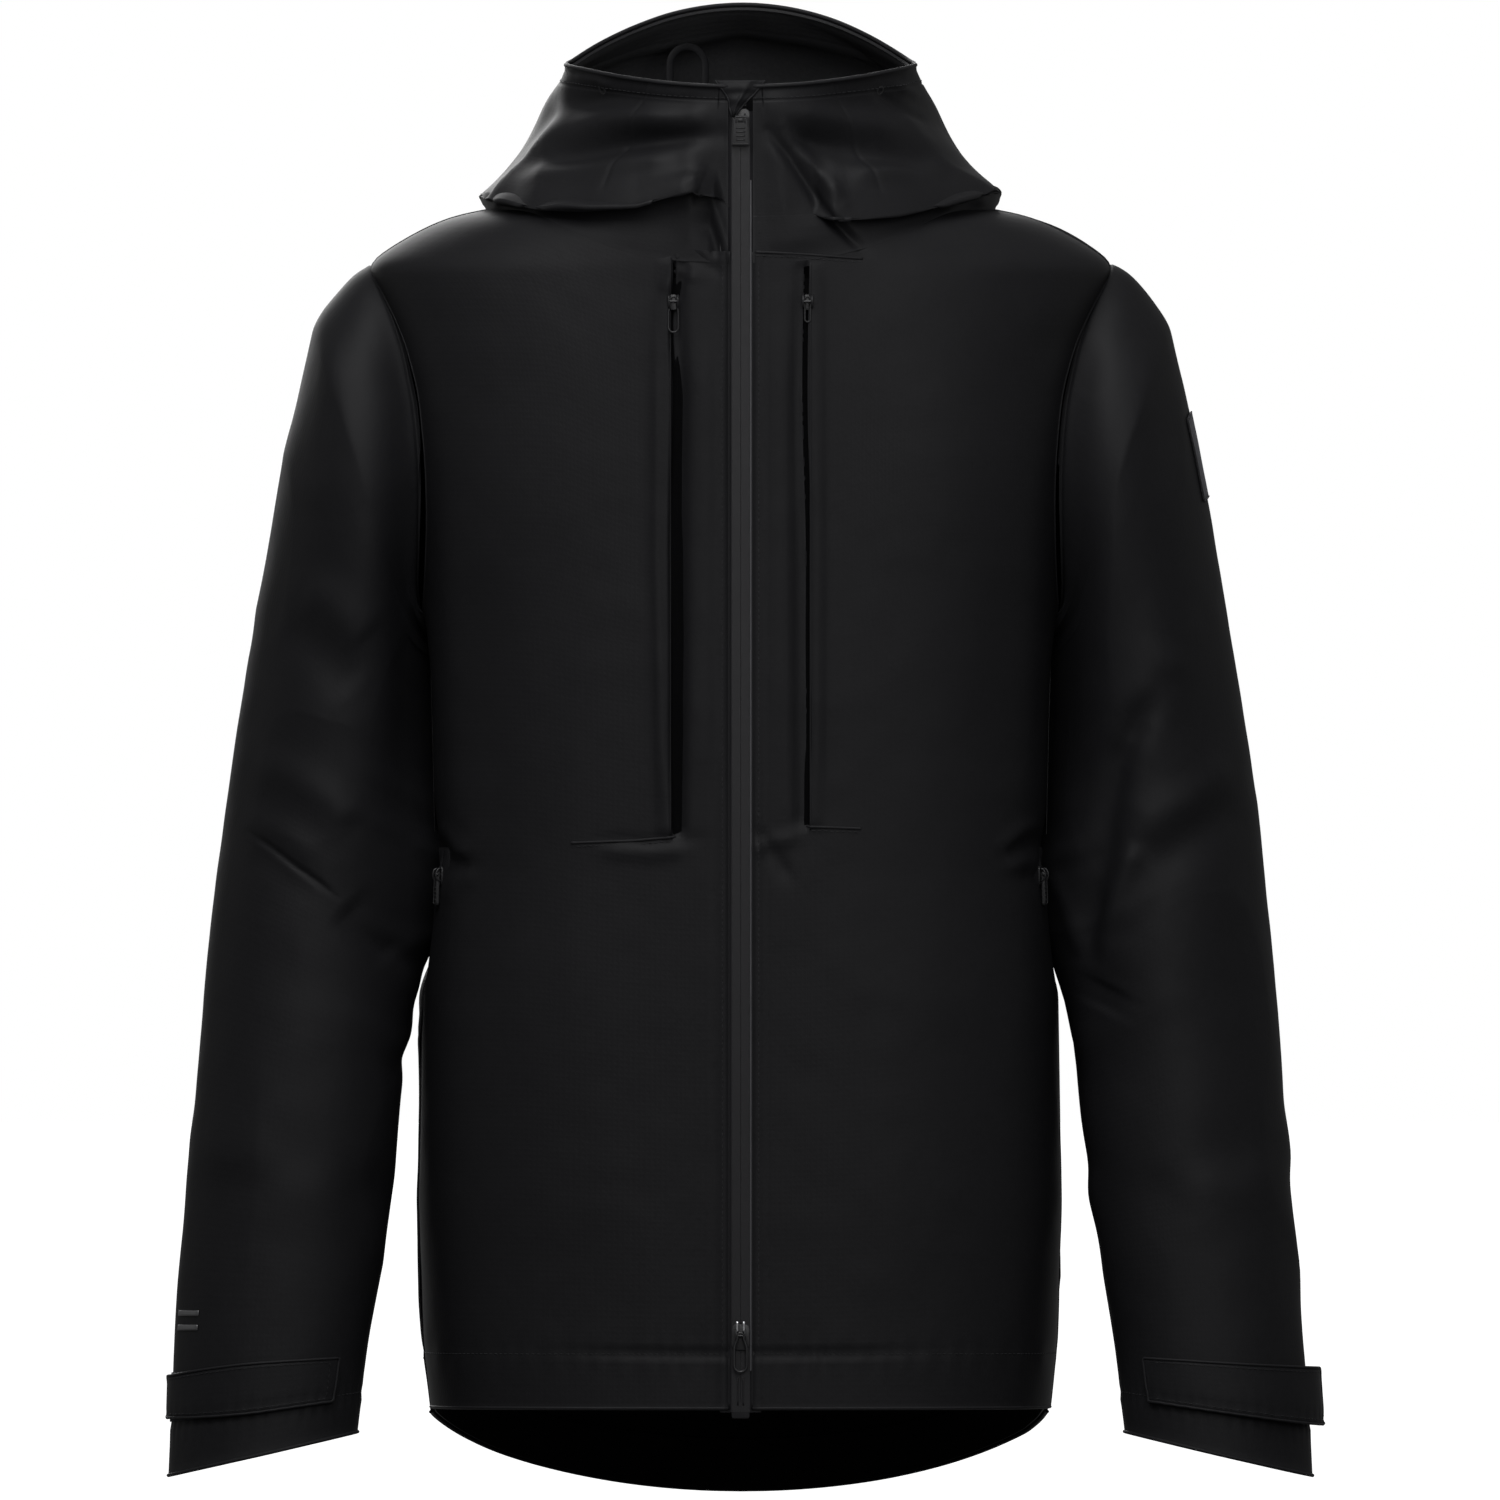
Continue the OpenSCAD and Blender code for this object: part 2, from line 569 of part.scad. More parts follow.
module loop_patch() {
    thick_sheet(down(cuff_strip(250, 385, tab_high_s() + 0.001, tab_low_s - 0.001, 1.4, 0, 12)),
                down(cuff_strip(250, 385, tab_high_s() + 0.001, tab_low_s - 0.001, 0.3, 0, 12)));
}
module cuff_tab(flare) {
    thick_sheet(down(cuff_strip(tab_a0, tab_a1, tab_high_s(), tab_low_s, tab_lift + 2.6, flare, 15)),
                down(cuff_strip(tab_a0, tab_a1, tab_high_s(), tab_low_s, tab_lift + 1, flare, 15)));
}
module hook_patch(flare) {
    function strip(lift) = [for (i = [0:2]) [for (j = [0:8])
        let (u = mix(0.62, 0.97, j / 8))
        sleeve_point(mix(tab_high_s() + 0.002, tab_low_s - 0.002, i / 2), mix(tab_a0, tab_a1, u),
                     -lift - flare * pow(u, 3))]];
    thick_sheet(down(strip(tab_lift + 0.6)), down(strip(tab_lift - 0.05)));
}

// A blank woven badge on the left upper arm, and two plain bars on the right forearm.
module badge() {
    function grid(lift) = [for (i = [0:4]) [for (j = [0:5])
        sleeve_point(mix(0.235, 0.345, i / 4), mix(-22, 8, j / 5), -lift)]];
    thick_sheet(down(grid(1.8)), down(grid(0.4)));
}
module mark_bars() {
    function bar(s0, lift) = [for (s = [s0, s0 + 0.0022]) [for (j = [0:4])
        sleeve_point(s, mix(318, 346, j / 4), -lift)]];
    for (s0 = [0.9565, 0.9605]) thick_sheet(down(bar(s0, 0.8)), down(bar(s0, 0.3)));
}

// ---- The nodes ----

left_flare = 8;
right_flare = 3.5;

module front_panel_left() color(cloth) placed() front_panel();
module front_panel_right() color(cloth) placed(right = true) front_panel();
module back_panel() color(cloth) placed() back_shell();
module hem_facing_left() color(cloth) placed() hem_facing_front();
module hem_facing_right() color(cloth) placed(right = true) hem_facing_front();
module hem_facing_back() color(cloth) placed() hem_facing_behind();
module side_seam_tape_left() color(inner_cloth) placed() side_seam_tape();
module side_seam_tape_right() color(inner_cloth) placed(right = true) side_seam_tape();
module storm_flap() color(inner_cloth) placed() storm_strip();
module main_zip_tape_left() color(trim) placed() main_place(main_low_h) tape(main_tape, main_len);
module main_zip_tape_right()
    color(trim) placed(right = true) main_place(main_low_h) tape(main_tape, main_len);
module main_zip_coil_left() color(trim) placed() main_place(main_low_h) coil(main_len);
module main_zip_coil_right() color(trim) placed(right = true) main_place(main_low_h) coil(main_len);
module main_zip_stops() color(metal) placed() top_stops();
module main_zip_box() color(trim) placed() box_end();
module main_top_slider() color(metal) placed() main_slider(top_slider_h);
module main_top_pull() color(trim) placed() main_pull(top_slider_h, 10, 10, 11);
module main_bottom_slider() color(metal) placed() main_slider(bottom_slider_h);
module main_bottom_pull() color(trim) placed() main_pull(bottom_slider_h, 7, 15, 5);
module zip_garage() color(cloth) placed() garage_fold();
module chest_zip_left() color(trim) placed() chest_place(0) pocket_zip(chest_len);
module chest_zip_right() color(trim) placed(right = true) chest_place(0) pocket_zip(chest_len);
module chest_slider_left() color(metal) placed() chest_place(chest_slider_up) pocket_slider();
module chest_slider_right() color(metal) placed(right = true) chest_place(chest_slider_up) pocket_slider();
module chest_pull_left() color(trim) placed() chest_place(chest_slider_up) pocket_pull();
module chest_pull_right() color(trim) placed(right = true) chest_place(chest_slider_up) pocket_pull();
module chest_flap_left() color(cloth) placed() chest_flap();
module chest_flap_right() color(cloth) placed(right = true) chest_flap();
module chest_pocket_bag_left() color(inner_cloth) placed() chest_bag();
module chest_pocket_bag_right() color(inner_cloth) placed(right = true) chest_bag();
module hand_zip_left() color(trim) placed() hand_place() pocket_zip(hand_len);
module hand_zip_right() color(trim) placed(right = true) hand_place() pocket_zip(hand_len);
module hand_slider_left() color(metal) placed() hand_place(hand_slider_up) pocket_slider();
module hand_slider_right() color(metal) placed(right = true) hand_place(hand_slider_up) pocket_slider();
module hand_pull_left() color(trim) placed() hand_place(hand_slider_up) pocket_pull();
module hand_pull_right() color(trim) placed(right = true) hand_place(hand_slider_up) pocket_pull();
module hand_pocket_bag_left() color(inner_cloth) placed() hand_bag();
module hand_pocket_bag_right() color(inner_cloth) placed(right = true) hand_bag();
module collar_front_left() color(cloth) placed() collar_side();
module collar_front_right() color(cloth) placed(right = true) collar_side();
module hood_side_left() color(cloth) placed() hood_side();
module hood_side_right() color(cloth) placed(right = true) hood_side();
module hood_centre() color(cloth) placed() hood_middle();
module hood_brim() color(inner_cloth) placed() brim();
module chin_guard() color(inner_cloth) placed() chin_lining();
module inner_collar() color(inner_cloth) placed() collar();
module hang_loop() color(trim) placed() loop_strap();
module neck_label() color(inner_cloth) placed() label();
module hood_eyelets() color(metal) placed() eyelets();
module sleeve_left() color(cloth) placed() sleeve();
module sleeve_right() color(cloth) placed(right = true) sleeve();
module cuff_facing_left() color(cloth) placed() cuff_facing();
module cuff_facing_right() color(cloth) placed(right = true) cuff_facing();
module loop_patch_left() color(trim) placed() loop_patch();
module loop_patch_right() color(trim) placed(right = true) loop_patch();
module cuff_tab_left() color(cloth) placed() cuff_tab(left_flare);
module cuff_tab_right() color(cloth) placed(right = true) cuff_tab(right_flare);
module hook_patch_left() color(trim) placed() hook_patch(left_flare);
module hook_patch_right() color(trim) placed(right = true) hook_patch(right_flare);
module sleeve_badge() color(trim) placed() badge();
module sleeve_mark() color(metal) placed(right = true) mark_bars();

front_panel_left();
front_panel_right();
back_panel();
hem_facing_left();
hem_facing_right();
hem_facing_back();
side_seam_tape_left();
side_seam_tape_right();
storm_flap();
main_zip_tape_left();
main_zip_tape_right();
main_zip_coil_left();
main_zip_coil_right();
main_zip_stops();
main_zip_box();
main_top_slider();
main_top_pull();
main_bottom_slider();
main_bottom_pull();
zip_garage();
chest_zip_left();
chest_zip_right();
chest_slider_left();
chest_slider_right();
chest_pull_left();
chest_pull_right();
chest_flap_left();
chest_flap_right();
chest_pocket_bag_left();
chest_pocket_bag_right();
hand_zip_left();
hand_zip_right();
hand_slider_left();
hand_slider_right();
hand_pull_left();
hand_pull_right();
hand_pocket_bag_left();
hand_pocket_bag_right();
collar_front_left();
collar_front_right();
hood_side_left();
hood_side_right();
hood_centre();
hood_brim();
chin_guard();
inner_collar();
hang_loop();
neck_label();
hood_eyelets();
sleeve_left();
sleeve_right();
cuff_facing_left();
cuff_facing_right();
loop_patch_left();
loop_patch_right();
cuff_tab_left();
cuff_tab_right();
hook_patch_left();
hook_patch_right();
sleeve_badge();
sleeve_mark();
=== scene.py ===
import math

import bpy
import numpy as np
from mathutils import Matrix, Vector


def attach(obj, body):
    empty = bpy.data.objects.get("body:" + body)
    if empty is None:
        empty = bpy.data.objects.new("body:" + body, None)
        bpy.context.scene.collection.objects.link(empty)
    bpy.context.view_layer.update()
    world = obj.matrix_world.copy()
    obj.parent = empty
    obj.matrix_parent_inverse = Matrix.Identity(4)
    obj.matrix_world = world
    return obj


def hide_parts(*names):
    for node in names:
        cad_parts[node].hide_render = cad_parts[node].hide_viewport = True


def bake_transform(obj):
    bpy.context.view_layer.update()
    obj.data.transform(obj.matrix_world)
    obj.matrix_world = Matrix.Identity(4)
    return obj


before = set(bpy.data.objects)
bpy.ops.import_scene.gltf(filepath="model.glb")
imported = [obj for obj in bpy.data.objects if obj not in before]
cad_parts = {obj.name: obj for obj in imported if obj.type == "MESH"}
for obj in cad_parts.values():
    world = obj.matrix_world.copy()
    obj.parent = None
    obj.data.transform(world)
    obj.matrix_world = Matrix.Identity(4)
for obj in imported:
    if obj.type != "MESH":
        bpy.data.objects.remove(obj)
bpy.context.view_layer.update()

# Everything is worked out in millimetres, standing on the drop tail, with the front towards -Y.
HOOK = np.array((-31.0, 70.5, 840.5))  # the point in the hang loop that is the row's origin


def row(p):
    return (np.asarray(p, float) - HOOK) / 1000.0


# ---- Camera, lights and stage ----
scene = bpy.context.scene
cam_data = bpy.data.cameras.new("camera")
cam_data.lens = 1647.8
cam_data.sensor_width = 36.0
cam_data.clip_start, cam_data.clip_end = 0.1, 100.0
cam = bpy.data.objects.new("camera", cam_data)
cam.location = row((5.5, -40000, 432.5))
cam.rotation_euler = (math.radians(90), 0, 0)
scene.collection.objects.link(cam)
scene.camera = cam


def area_light(name, at, towards, size, power):
    data = bpy.data.lights.new(name, "AREA")
    data.shape = "RECTANGLE"
    data.size, data.size_y = size
    data.energy = power
    light = bpy.data.objects.new(name, data)
    light.location = row(at)
    light.rotation_euler = (Vector(row(towards)) - Vector(row(at))).to_track_quat("-Z", "Y").to_euler()
    scene.collection.objects.link(light)


area_light("key", (-420, -1500, 2150), (0, 0, 520), (1.1, 1.1), 64)
area_light("fill", (420, -2500, 1350), (0, 0, 420), (1.5, 1.5), 46)
area_light("rim_left", (-2300, 500, 1100), (-150, 0, 450), (0.9, 2.2), 5)
area_light("rim_right", (2300, 500, 1100), (150, 0, 450), (0.9, 2.2), 5)
area_light("back", (-600, 2700, 1700), (0, 0, 480), (1.8, 1.8), 60)
area_light("top", (0, -500, 2700), (0, 0, 700), (1.6, 1.2), 42)

world = bpy.data.worlds.new("studio")
scene.world = world
world.use_nodes = True
sky, sky_links = world.node_tree.nodes, world.node_tree.links
dim = sky["Background"]
dim.inputs["Color"].default_value = (1, 1, 1, 1)
dim.inputs["Strength"].default_value = 0.3
# The camera sees a plain white surround, while the jacket is lit by a dimmer one.
seen = sky.new("ShaderNodeBackground")
seen.inputs["Color"].default_value = (1, 1, 1, 1)
either = sky.new("ShaderNodeMixShader")
sky_links.new(sky.new("ShaderNodeLightPath").outputs["Is Camera Ray"], either.inputs[0])
sky_links.new(dim.outputs[0], either.inputs[1])
sky_links.new(seen.outputs[0], either.inputs[2])
sky_links.new(either.outputs[0], sky["World Output"].inputs["Surface"])


# ---- Materials ----
def new_material(name):
    m = bpy.data.materials.new(name)
    m.use_nodes = True
    nodes, links = m.node_tree.nodes, m.node_tree.links
    return m, nodes, links, nodes["Principled BSDF"]


def node(nodes, kind, **values):
    n = nodes.new(kind)
    for k, v in values.items():
        if k in n.inputs:
            n.inputs[k].default_value = v
        else:
            setattr(n, k, v)
    return n


def noise_node(nodes, links, place, scale, detail, rough):
    n = node(nodes, "ShaderNodeTexNoise", Scale=scale, Detail=detail, Roughness=rough)
    links.new(place.outputs["Object"], n.inputs["Vector"])
    return n.outputs["Fac"]


def range_node(nodes, links, value, low, high, given=(0.0, 1.0)):
    """A value carried from the given range to the range from low to high."""
    n = node(nodes, "ShaderNodeMapRange")
    n.inputs["From Min"].default_value, n.inputs["From Max"].default_value = given
    n.inputs["To Min"].default_value, n.inputs["To Max"].default_value = low, high
    links.new(value, n.inputs["Value"])
    return n.outputs["Result"]


def bump_node(nodes, links, height, strength, distance):
    n = node(nodes, "ShaderNodeBump", Strength=strength, Distance=distance)
    links.new(height, n.inputs["Height"])
    return n


def tone(colour, share, more=0.0):
    """A colour made lighter or darker, as a socket takes it."""
    return tuple(min(1, c * share + more) for c in colour) + (1,)


# The colour sockets of a Mix node.
MIX_A, MIX_B, MIX_OUT = 6, 7, 2


def cloth_material(name, colour, rough, sheen, pitch_mm=0.5, weave=0.25, mottle=0.12, grain=0.1,
                   wear=0.0, spec=0.1):
    """Woven cloth: two crossed bands of threads, a fine grain, slow drift and lighter rubbed edges."""
    m, nodes, links, bsdf = new_material(name)
    place = node(nodes, "ShaderNodeTexCoord")
    drift = noise_node(nodes, links, place, 9.0, 4.0, 0.6)
    fleck = noise_node(nodes, links, place, 420.0, 3.0, 0.7)
    mix_drift = node(nodes, "ShaderNodeMix", data_type="RGBA")
    mix_drift.inputs[MIX_A].default_value = tone(colour, 1 - mottle)
    mix_drift.inputs[MIX_B].default_value = tone(colour, 1 + mottle * 1.4)
    links.new(drift, mix_drift.inputs[0])
    mix_fleck = node(nodes, "ShaderNodeMix", data_type="RGBA", blend_type="MULTIPLY")
    mix_fleck.inputs[0].default_value = 0.5
    links.new(mix_drift.outputs[MIX_OUT], mix_fleck.inputs[MIX_A])
    links.new(range_node(nodes, links, fleck, 0.7, 1.25, (0.3, 0.7)), mix_fleck.inputs[MIX_B])
    colour_out = mix_fleck.outputs[MIX_OUT]
    if wear:
        edges = node(nodes, "ShaderNodeNewGeometry").outputs["Pointiness"]
        rub = node(nodes, "ShaderNodeMix", data_type="RGBA")
        rub.inputs[MIX_B].default_value = tone(colour, 2.6, 0.01)
        links.new(range_node(nodes, links, edges, 0.0, wear, (0.52, 0.62)), rub.inputs[0])
        links.new(colour_out, rub.inputs[MIX_A])
        colour_out = rub.outputs[MIX_OUT]
    links.new(colour_out, bsdf.inputs["Base Color"])
    uv = node(nodes, "ShaderNodeUVMap", uv_map="UVMap")
    cross = node(nodes, "ShaderNodeMath", operation="MAXIMUM")
    for k, direction in enumerate(("X", "Y")):
        wave = node(nodes, "ShaderNodeTexWave", wave_type="BANDS", bands_direction=direction,
                    Scale=1000.0 / pitch_mm / 20.0, Distortion=0.6, Detail=1.0)
        links.new(uv.outputs["UV"], wave.inputs["Vector"])
        links.new(wave.outputs["Fac"], cross.inputs[k])
    bump = bump_node(nodes, links, cross.outputs["Value"], weave, 0.00025)
    soft = bump_node(nodes, links, noise_node(nodes, links, place, 160.0, 4.0, 0.6), grain, 0.0012)
    links.new(bump.outputs["Normal"], soft.inputs["Normal"])
    links.new(soft.outputs["Normal"], bsdf.inputs["Normal"])
    links.new(range_node(nodes, links, drift, rough - 0.06, rough + 0.08), bsdf.inputs["Roughness"])
    bsdf.inputs["Specular IOR Level"].default_value = spec
    bsdf.inputs["Sheen Weight"].default_value = sheen
    bsdf.inputs["Sheen Roughness"].default_value = 0.45
    bsdf.inputs["Sheen Tint"].default_value = (0.86, 0.88, 1.0, 1)
    return m


def solid_material(name, colour, rough, metal=0.0, spec=0.5, grain=0.05, scale=300.0, mottle=0.15):
    """Plastic, rubber or metal: slow colour drift, uneven gloss and a fine grain."""
    m, nodes, links, bsdf = new_material(name)
    place = node(nodes, "ShaderNodeTexCoord")
    mix = node(nodes, "ShaderNodeMix", data_type="RGBA")
    mix.inputs[MIX_A].default_value = tone(colour, 1 - mottle)
    mix.inputs[MIX_B].default_value = tone(colour, 1 + mottle)
    links.new(noise_node(nodes, links, place, 35.0, 5.0, 0.65), mix.inputs[0])
    links.new(mix.outputs[MIX_OUT], bsdf.inputs["Base Color"])
    fine = noise_node(nodes, links, place, scale, 4.0, 0.6)
    bump = bump_node(nodes, links, fine, grain, 0.0008)
    links.new(bump.outputs["Normal"], bsdf.inputs["Normal"])
    gloss = range_node(nodes, links, fine, max(0.05, rough - 0.1), rough + 0.1)
    links.new(gloss, bsdf.inputs["Roughness"])
    bsdf.inputs["Metallic"].default_value = metal
    bsdf.inputs["Specular IOR Level"].default_value = spec
    return m


shell = cloth_material("shell_cloth", (0.0033, 0.0033, 0.0037), 0.56, 0.0, weave=0.1, wear=0.2, spec=0.05)
# The lining's near-black colour is partly its own and partly painted shade for the unlit inside of the jacket.
lining_and_painted_shade = cloth_material("lining_cloth", (0.0007, 0.0007, 0.0008), 0.8, 0.0, pitch_mm=1.1, weave=0.45,
                        mottle=0.2, spec=0.02)
hood_lining = cloth_material("hood_lining", (0.028, 0.028, 0.0295), 0.75, 0.0, pitch_mm=1.1, weave=0.4,
                             spec=0.06)
# Glossier film for the zip tape's edge; its lighter colour is a painted highlight.
highlight_film = solid_material("zip_edge_film", (0.022, 0.022, 0.024), 0.35, spec=0.3)
film = solid_material("coated_tape", (0.0042, 0.0041, 0.0047), 0.42, spec=0.09, grain=0.08, scale=240.0,
                      mottle=0.1)
# Near-black painted shade, laid in the chest pocket slits.
painted_slit_shade = solid_material("zip_shadow", (0.0005, 0.0005, 0.0006), 0.9, spec=0.02)
zip_plastic = solid_material("zip_plastic", (0.006, 0.006, 0.0065), 0.4, spec=0.3)
steel = solid_material("slider_metal", (0.34, 0.34, 0.35), 0.34, metal=1.0, grain=0.1, scale=500.0)
dark_metal = solid_material("slider_painted", (0.0045, 0.0045, 0.005), 0.36, spec=0.16)
rubber = solid_material("pull_rubber", (0.006, 0.006, 0.0064), 0.55, spec=0.12, grain=0.2)
pile = cloth_material("hook_and_loop", (0.005, 0.005, 0.0055), 0.9, 0.05, pitch_mm=1.6, weave=0.9,
                      grain=0.6)
webbing = cloth_material("webbing", (0.009, 0.009, 0.010), 0.7, 0.03, pitch_mm=1.3, weave=0.8, grain=0.2)
thread = cloth_material("thread", (0.004, 0.004, 0.0044), 0.6, 0.02, pitch_mm=0.4, weave=0.5)
print_film = solid_material("transfer_print", (0.018, 0.018, 0.019), 0.4, spec=0.3, grain=0.05)
badge_cloth = cloth_material("badge_cloth", (0.010, 0.010, 0.011), 0.6, 0.03, pitch_mm=0.9, weave=0.8)


# ---- Mesh helpers ----
def smooth(t):
    t = np.clip(t, 0, 1)
    return t * t * (3 - 2 * t)


def unit(v):
    return v / np.maximum(np.linalg.norm(v, axis=-1, keepdims=True), 1e-9)


def run_along(path, axis=0):
    """How far each point of a line lies from its start, or each point of a grid along one of its ways."""
    steps = np.linalg.norm(np.diff(path, axis=axis), axis=-1)
    pad = [(0, 0)] * steps.ndim
    pad[axis] = (1, 0)
    return np.pad(np.cumsum(steps, axis), pad)


def grid_normals(g, closed=False):
    """Outward normals of a grid whose rows run up and whose columns run anticlockwise from above."""
    if closed:
        around = np.roll(g, -1, 1) - np.roll(g, 1, 1)
    else:
        around = np.gradient(g, axis=1)
    return unit(np.cross(around, np.gradient(g, axis=0)))


def finish_mesh(name, verts, faces, mats, face_mats, body, uv=None, sharp=None):
    """A mesh from points in millimetres, riding on a body if one is given."""
    mesh = bpy.data.meshes.new(name)
    mesh.from_pydata([tuple(v) for v in row(verts)], [], faces)
    for m in mats:
        mesh.materials.append(m)
    mesh.polygons.foreach_set("material_index", np.asarray(face_mats, np.int32))
    mesh.polygons.foreach_set("use_smooth", np.full(len(mesh.polygons), True))
    if uv is not None:
        layer = mesh.uv_layers.new(name="UVMap")
        loops = np.empty(len(mesh.loops), np.int32)
        mesh.loops.foreach_get("vertex_index", loops)
        layer.data.foreach_set("uv", np.asarray(uv, float)[loops].ravel())
    if sharp:
        for e in mesh.edges:
            if tuple(sorted(e.vertices)) in sharp:
                e.use_edge_sharp = True
    mesh.update()
    obj = bpy.data.objects.new(name, mesh)
    scene.collection.objects.link(obj)
    if body:
        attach(obj, body)
    return obj


def cloth_grid(name, outer, thick, body, mats=None, closed=False, mask=None):
    """A sheet of cloth over a grid of points, as thick as given, with its second material inside."""
    rows, cols = outer.shape[:2]
    normals = grid_normals(outer, closed)
    inner = outer - normals * (thick if np.isscalar(thick) else thick[..., None])
    n = rows * cols
    span = cols if closed else cols - 1
    if mask is None:
        mask = np.ones((rows - 1, span), bool)

    def at(i, j):
        return i * cols + j % cols

    faces, kinds, sharp = [], [], set()
    for i in range(rows - 1):
        for j in range(span):
            if mask[i, j]:
                faces.append((at(i, j), at(i, j + 1), at(i + 1, j + 1), at(i + 1, j)))
                kinds.append(0)
                faces.append((n + at(i, j), n + at(i + 1, j), n + at(i + 1, j + 1), n + at(i, j + 1)))
                kinds.append(1)

    def there(i, j):
        if closed:
            j %= span
        return 0 <= i < rows - 1 and 0 <= j < span and mask[i, j]

    def edge(a, b):
        faces.append((a, a + n, b + n, b))
        kinds.append(0)
        sharp.add(tuple(sorted((a, b))))
        sharp.add(tuple(sorted((a + n, b + n))))

    for i in range(rows):
        for j in range(span):
            below, above = there(i - 1, j), there(i, j)
            if above and not below:
                edge(at(i, j), at(i, j + 1))
            elif below and not above:
                edge(at(i, j + 1), at(i, j))
    for i in range(rows - 1):
        for j in range(cols):
            before, after = there(i, j - 1), there(i, j)
            if not closed and j == 0:
                before = False
            if not closed and j == cols - 1:
                after = False
            if after and not before:
                edge(at(i + 1, j), at(i, j))
            elif before and not after:
                edge(at(i, j), at(i + 1, j))
    u, v = run_along(outer, 1)[rows // 2], run_along(outer)[:, cols // 2]
    uv = np.stack(np.meshgrid(u, v), 2).reshape(-1, 2)
    uv = np.concatenate([uv, uv]) / 1000
    verts = np.concatenate([outer.reshape(-1, 3), inner.reshape(-1, 3)])
    used = np.unique(np.concatenate([np.array(f) for f in faces]))
    remap = np.full(2 * n, -1)
    remap[used] = np.arange(len(used))
    faces = [tuple(int(remap[k]) for k in f) for f in faces]
    sharp = {tuple(sorted((int(remap[a]), int(remap[b])))) for a, b in sharp}
    return finish_mesh(name, verts[used], faces, mats or [shell, lining_and_painted_shade], kinds, body, uv[used], sharp)


def tube(name, path, radius, material, sides=8, closed=False, flat=1.0, up=None, body=None):
    """A rounded strip along a path, made flat by the given share along the direction up."""
    path = np.asarray(path, float)
    if closed:
        along = unit(np.roll(path, -1, 0) - np.roll(path, 1, 0))
    else:
        along = unit(np.gradient(path, axis=0))
    ref = np.broadcast_to(np.array((0, -1.0, 0)) if up is None else np.asarray(up, float), path.shape)
    side = unit(np.cross(along, ref))
    lift = unit(np.cross(side, along))
    radius = np.broadcast_to(radius, len(path))
    ang = np.linspace(0, 2 * np.pi, sides, endpoint=False)
    ring = (
        path[:, None]
        + side[:, None] * (radius[:, None] * np.cos(ang))[..., None]
        + lift[:, None] * (radius[:, None] * flat * np.sin(ang))[..., None]
    )
    n = len(path)
    faces = []
    for i in range(n if closed else n - 1):
        k = (i + 1) % n
        for j in range(sides):
            j2 = (j + 1) % sides
            faces.append((i * sides + j, k * sides + j, k * sides + j2, i * sides + j2))
    if not closed:
        faces.append(tuple(range(sides)))
        faces.append(tuple((n - 1) * sides + j for j in reversed(range(sides))))
    uv = np.stack([np.tile(ang * radius.mean(), n), np.repeat(run_along(path), sides)], 1) / 1000
    return finish_mesh(name, ring.reshape(-1, 3), faces, [material], [0] * len(faces), body, uv)


def join(name, objs):
    """Several meshes as one."""
    verts, faces, kinds, mats, uvs = [], [], [], [], []
    base = 0
    for o in objs:
        mesh = o.data
        world = o.matrix_world
        verts += [tuple(world @ v.co) for v in mesh.vertices]
        for m in mesh.materials:
            if m not in mats:
                mats.append(m)
        layer = mesh.uv_layers[0].data if mesh.uv_layers else None
        for p in mesh.polygons:
            faces.append(tuple(base + k for k in p.vertices))
            kinds.append(mats.index(mesh.materials[p.material_index]))
            uvs += [tuple(layer[k].uv) if layer else (0, 0) for k in p.loop_indices]
        base += len(mesh.vertices)
    mesh = bpy.data.meshes.new(name)
    mesh.from_pydata(verts, [], faces)
    for m in mats:
        mesh.materials.append(m)
    mesh.polygons.foreach_set("material_index", np.asarray(kinds, np.int32))
    mesh.polygons.foreach_set("use_smooth", np.full(len(mesh.polygons), True))
    layer = mesh.uv_layers.new(name="UVMap")
    layer.data.foreach_set("uv", np.asarray(uvs, float).ravel())
    mesh.update()
    for o in objs:
        bpy.data.objects.remove(o)
    obj = bpy.data.objects.new(name, mesh)
    scene.collection.objects.link(obj)
    return obj


def plain_mesh(name, verts, faces, material, body=None):
    """A mesh of one material, textured as seen from the front."""
    return finish_mesh(name, verts, faces, [material], [0] * len(faces), body, verts[:, [0, 2]] / 1000)


STITCH, GAP = 2.3, 1.2


def stitches(name, path, normal, radius=0.28, lift=0.12):
    """A row of separate stitches along a path, each a short bead of thread."""
    path = np.asarray(path, float)
    normal = unit(np.broadcast_to(np.asarray(normal, float), path.shape))
    run = run_along(path)
    starts = np.arange(0.5, run[-1] - STITCH, STITCH + GAP)
    rings = np.array([(-0.5, 0.35), (-0.32, 0.95), (0.0, 1.0), (0.32, 0.95), (0.5, 0.35)])
    ang = np.linspace(0, 2 * np.pi, 6, endpoint=False)
    verts, faces = [], []
    for s in starts:
        mid = s + STITCH / 2
        p = np.array([np.interp([s, mid, s + STITCH], run, path[:, k]) for k in range(3)]).T
        nrm = unit(np.array([np.interp(mid, run, normal[:, k]) for k in range(3)]))
        along = unit(p[2] - p[0])
        side = unit(np.cross(along, nrm))
        base = len(verts)
        for t, r in rings:
            centre = p[1] + along * t * STITCH + nrm * lift
            for a in ang:
                verts.append(centre + side * radius * r * np.cos(a) + nrm * radius * r * np.sin(a))
        for i in range(4):
            for j in range(6):
                k = (j + 1) % 6
                low, high = base + i * 6, base + i * 6 + 6
                faces.append((low + j, low + k, high + k, high + j))
        faces.append(tuple(base + j for j in reversed(range(6))))
        faces.append(tuple(base + 24 + j for j in range(6)))
    verts = np.array(verts)
    return plain_mesh(name, verts, faces, thread)


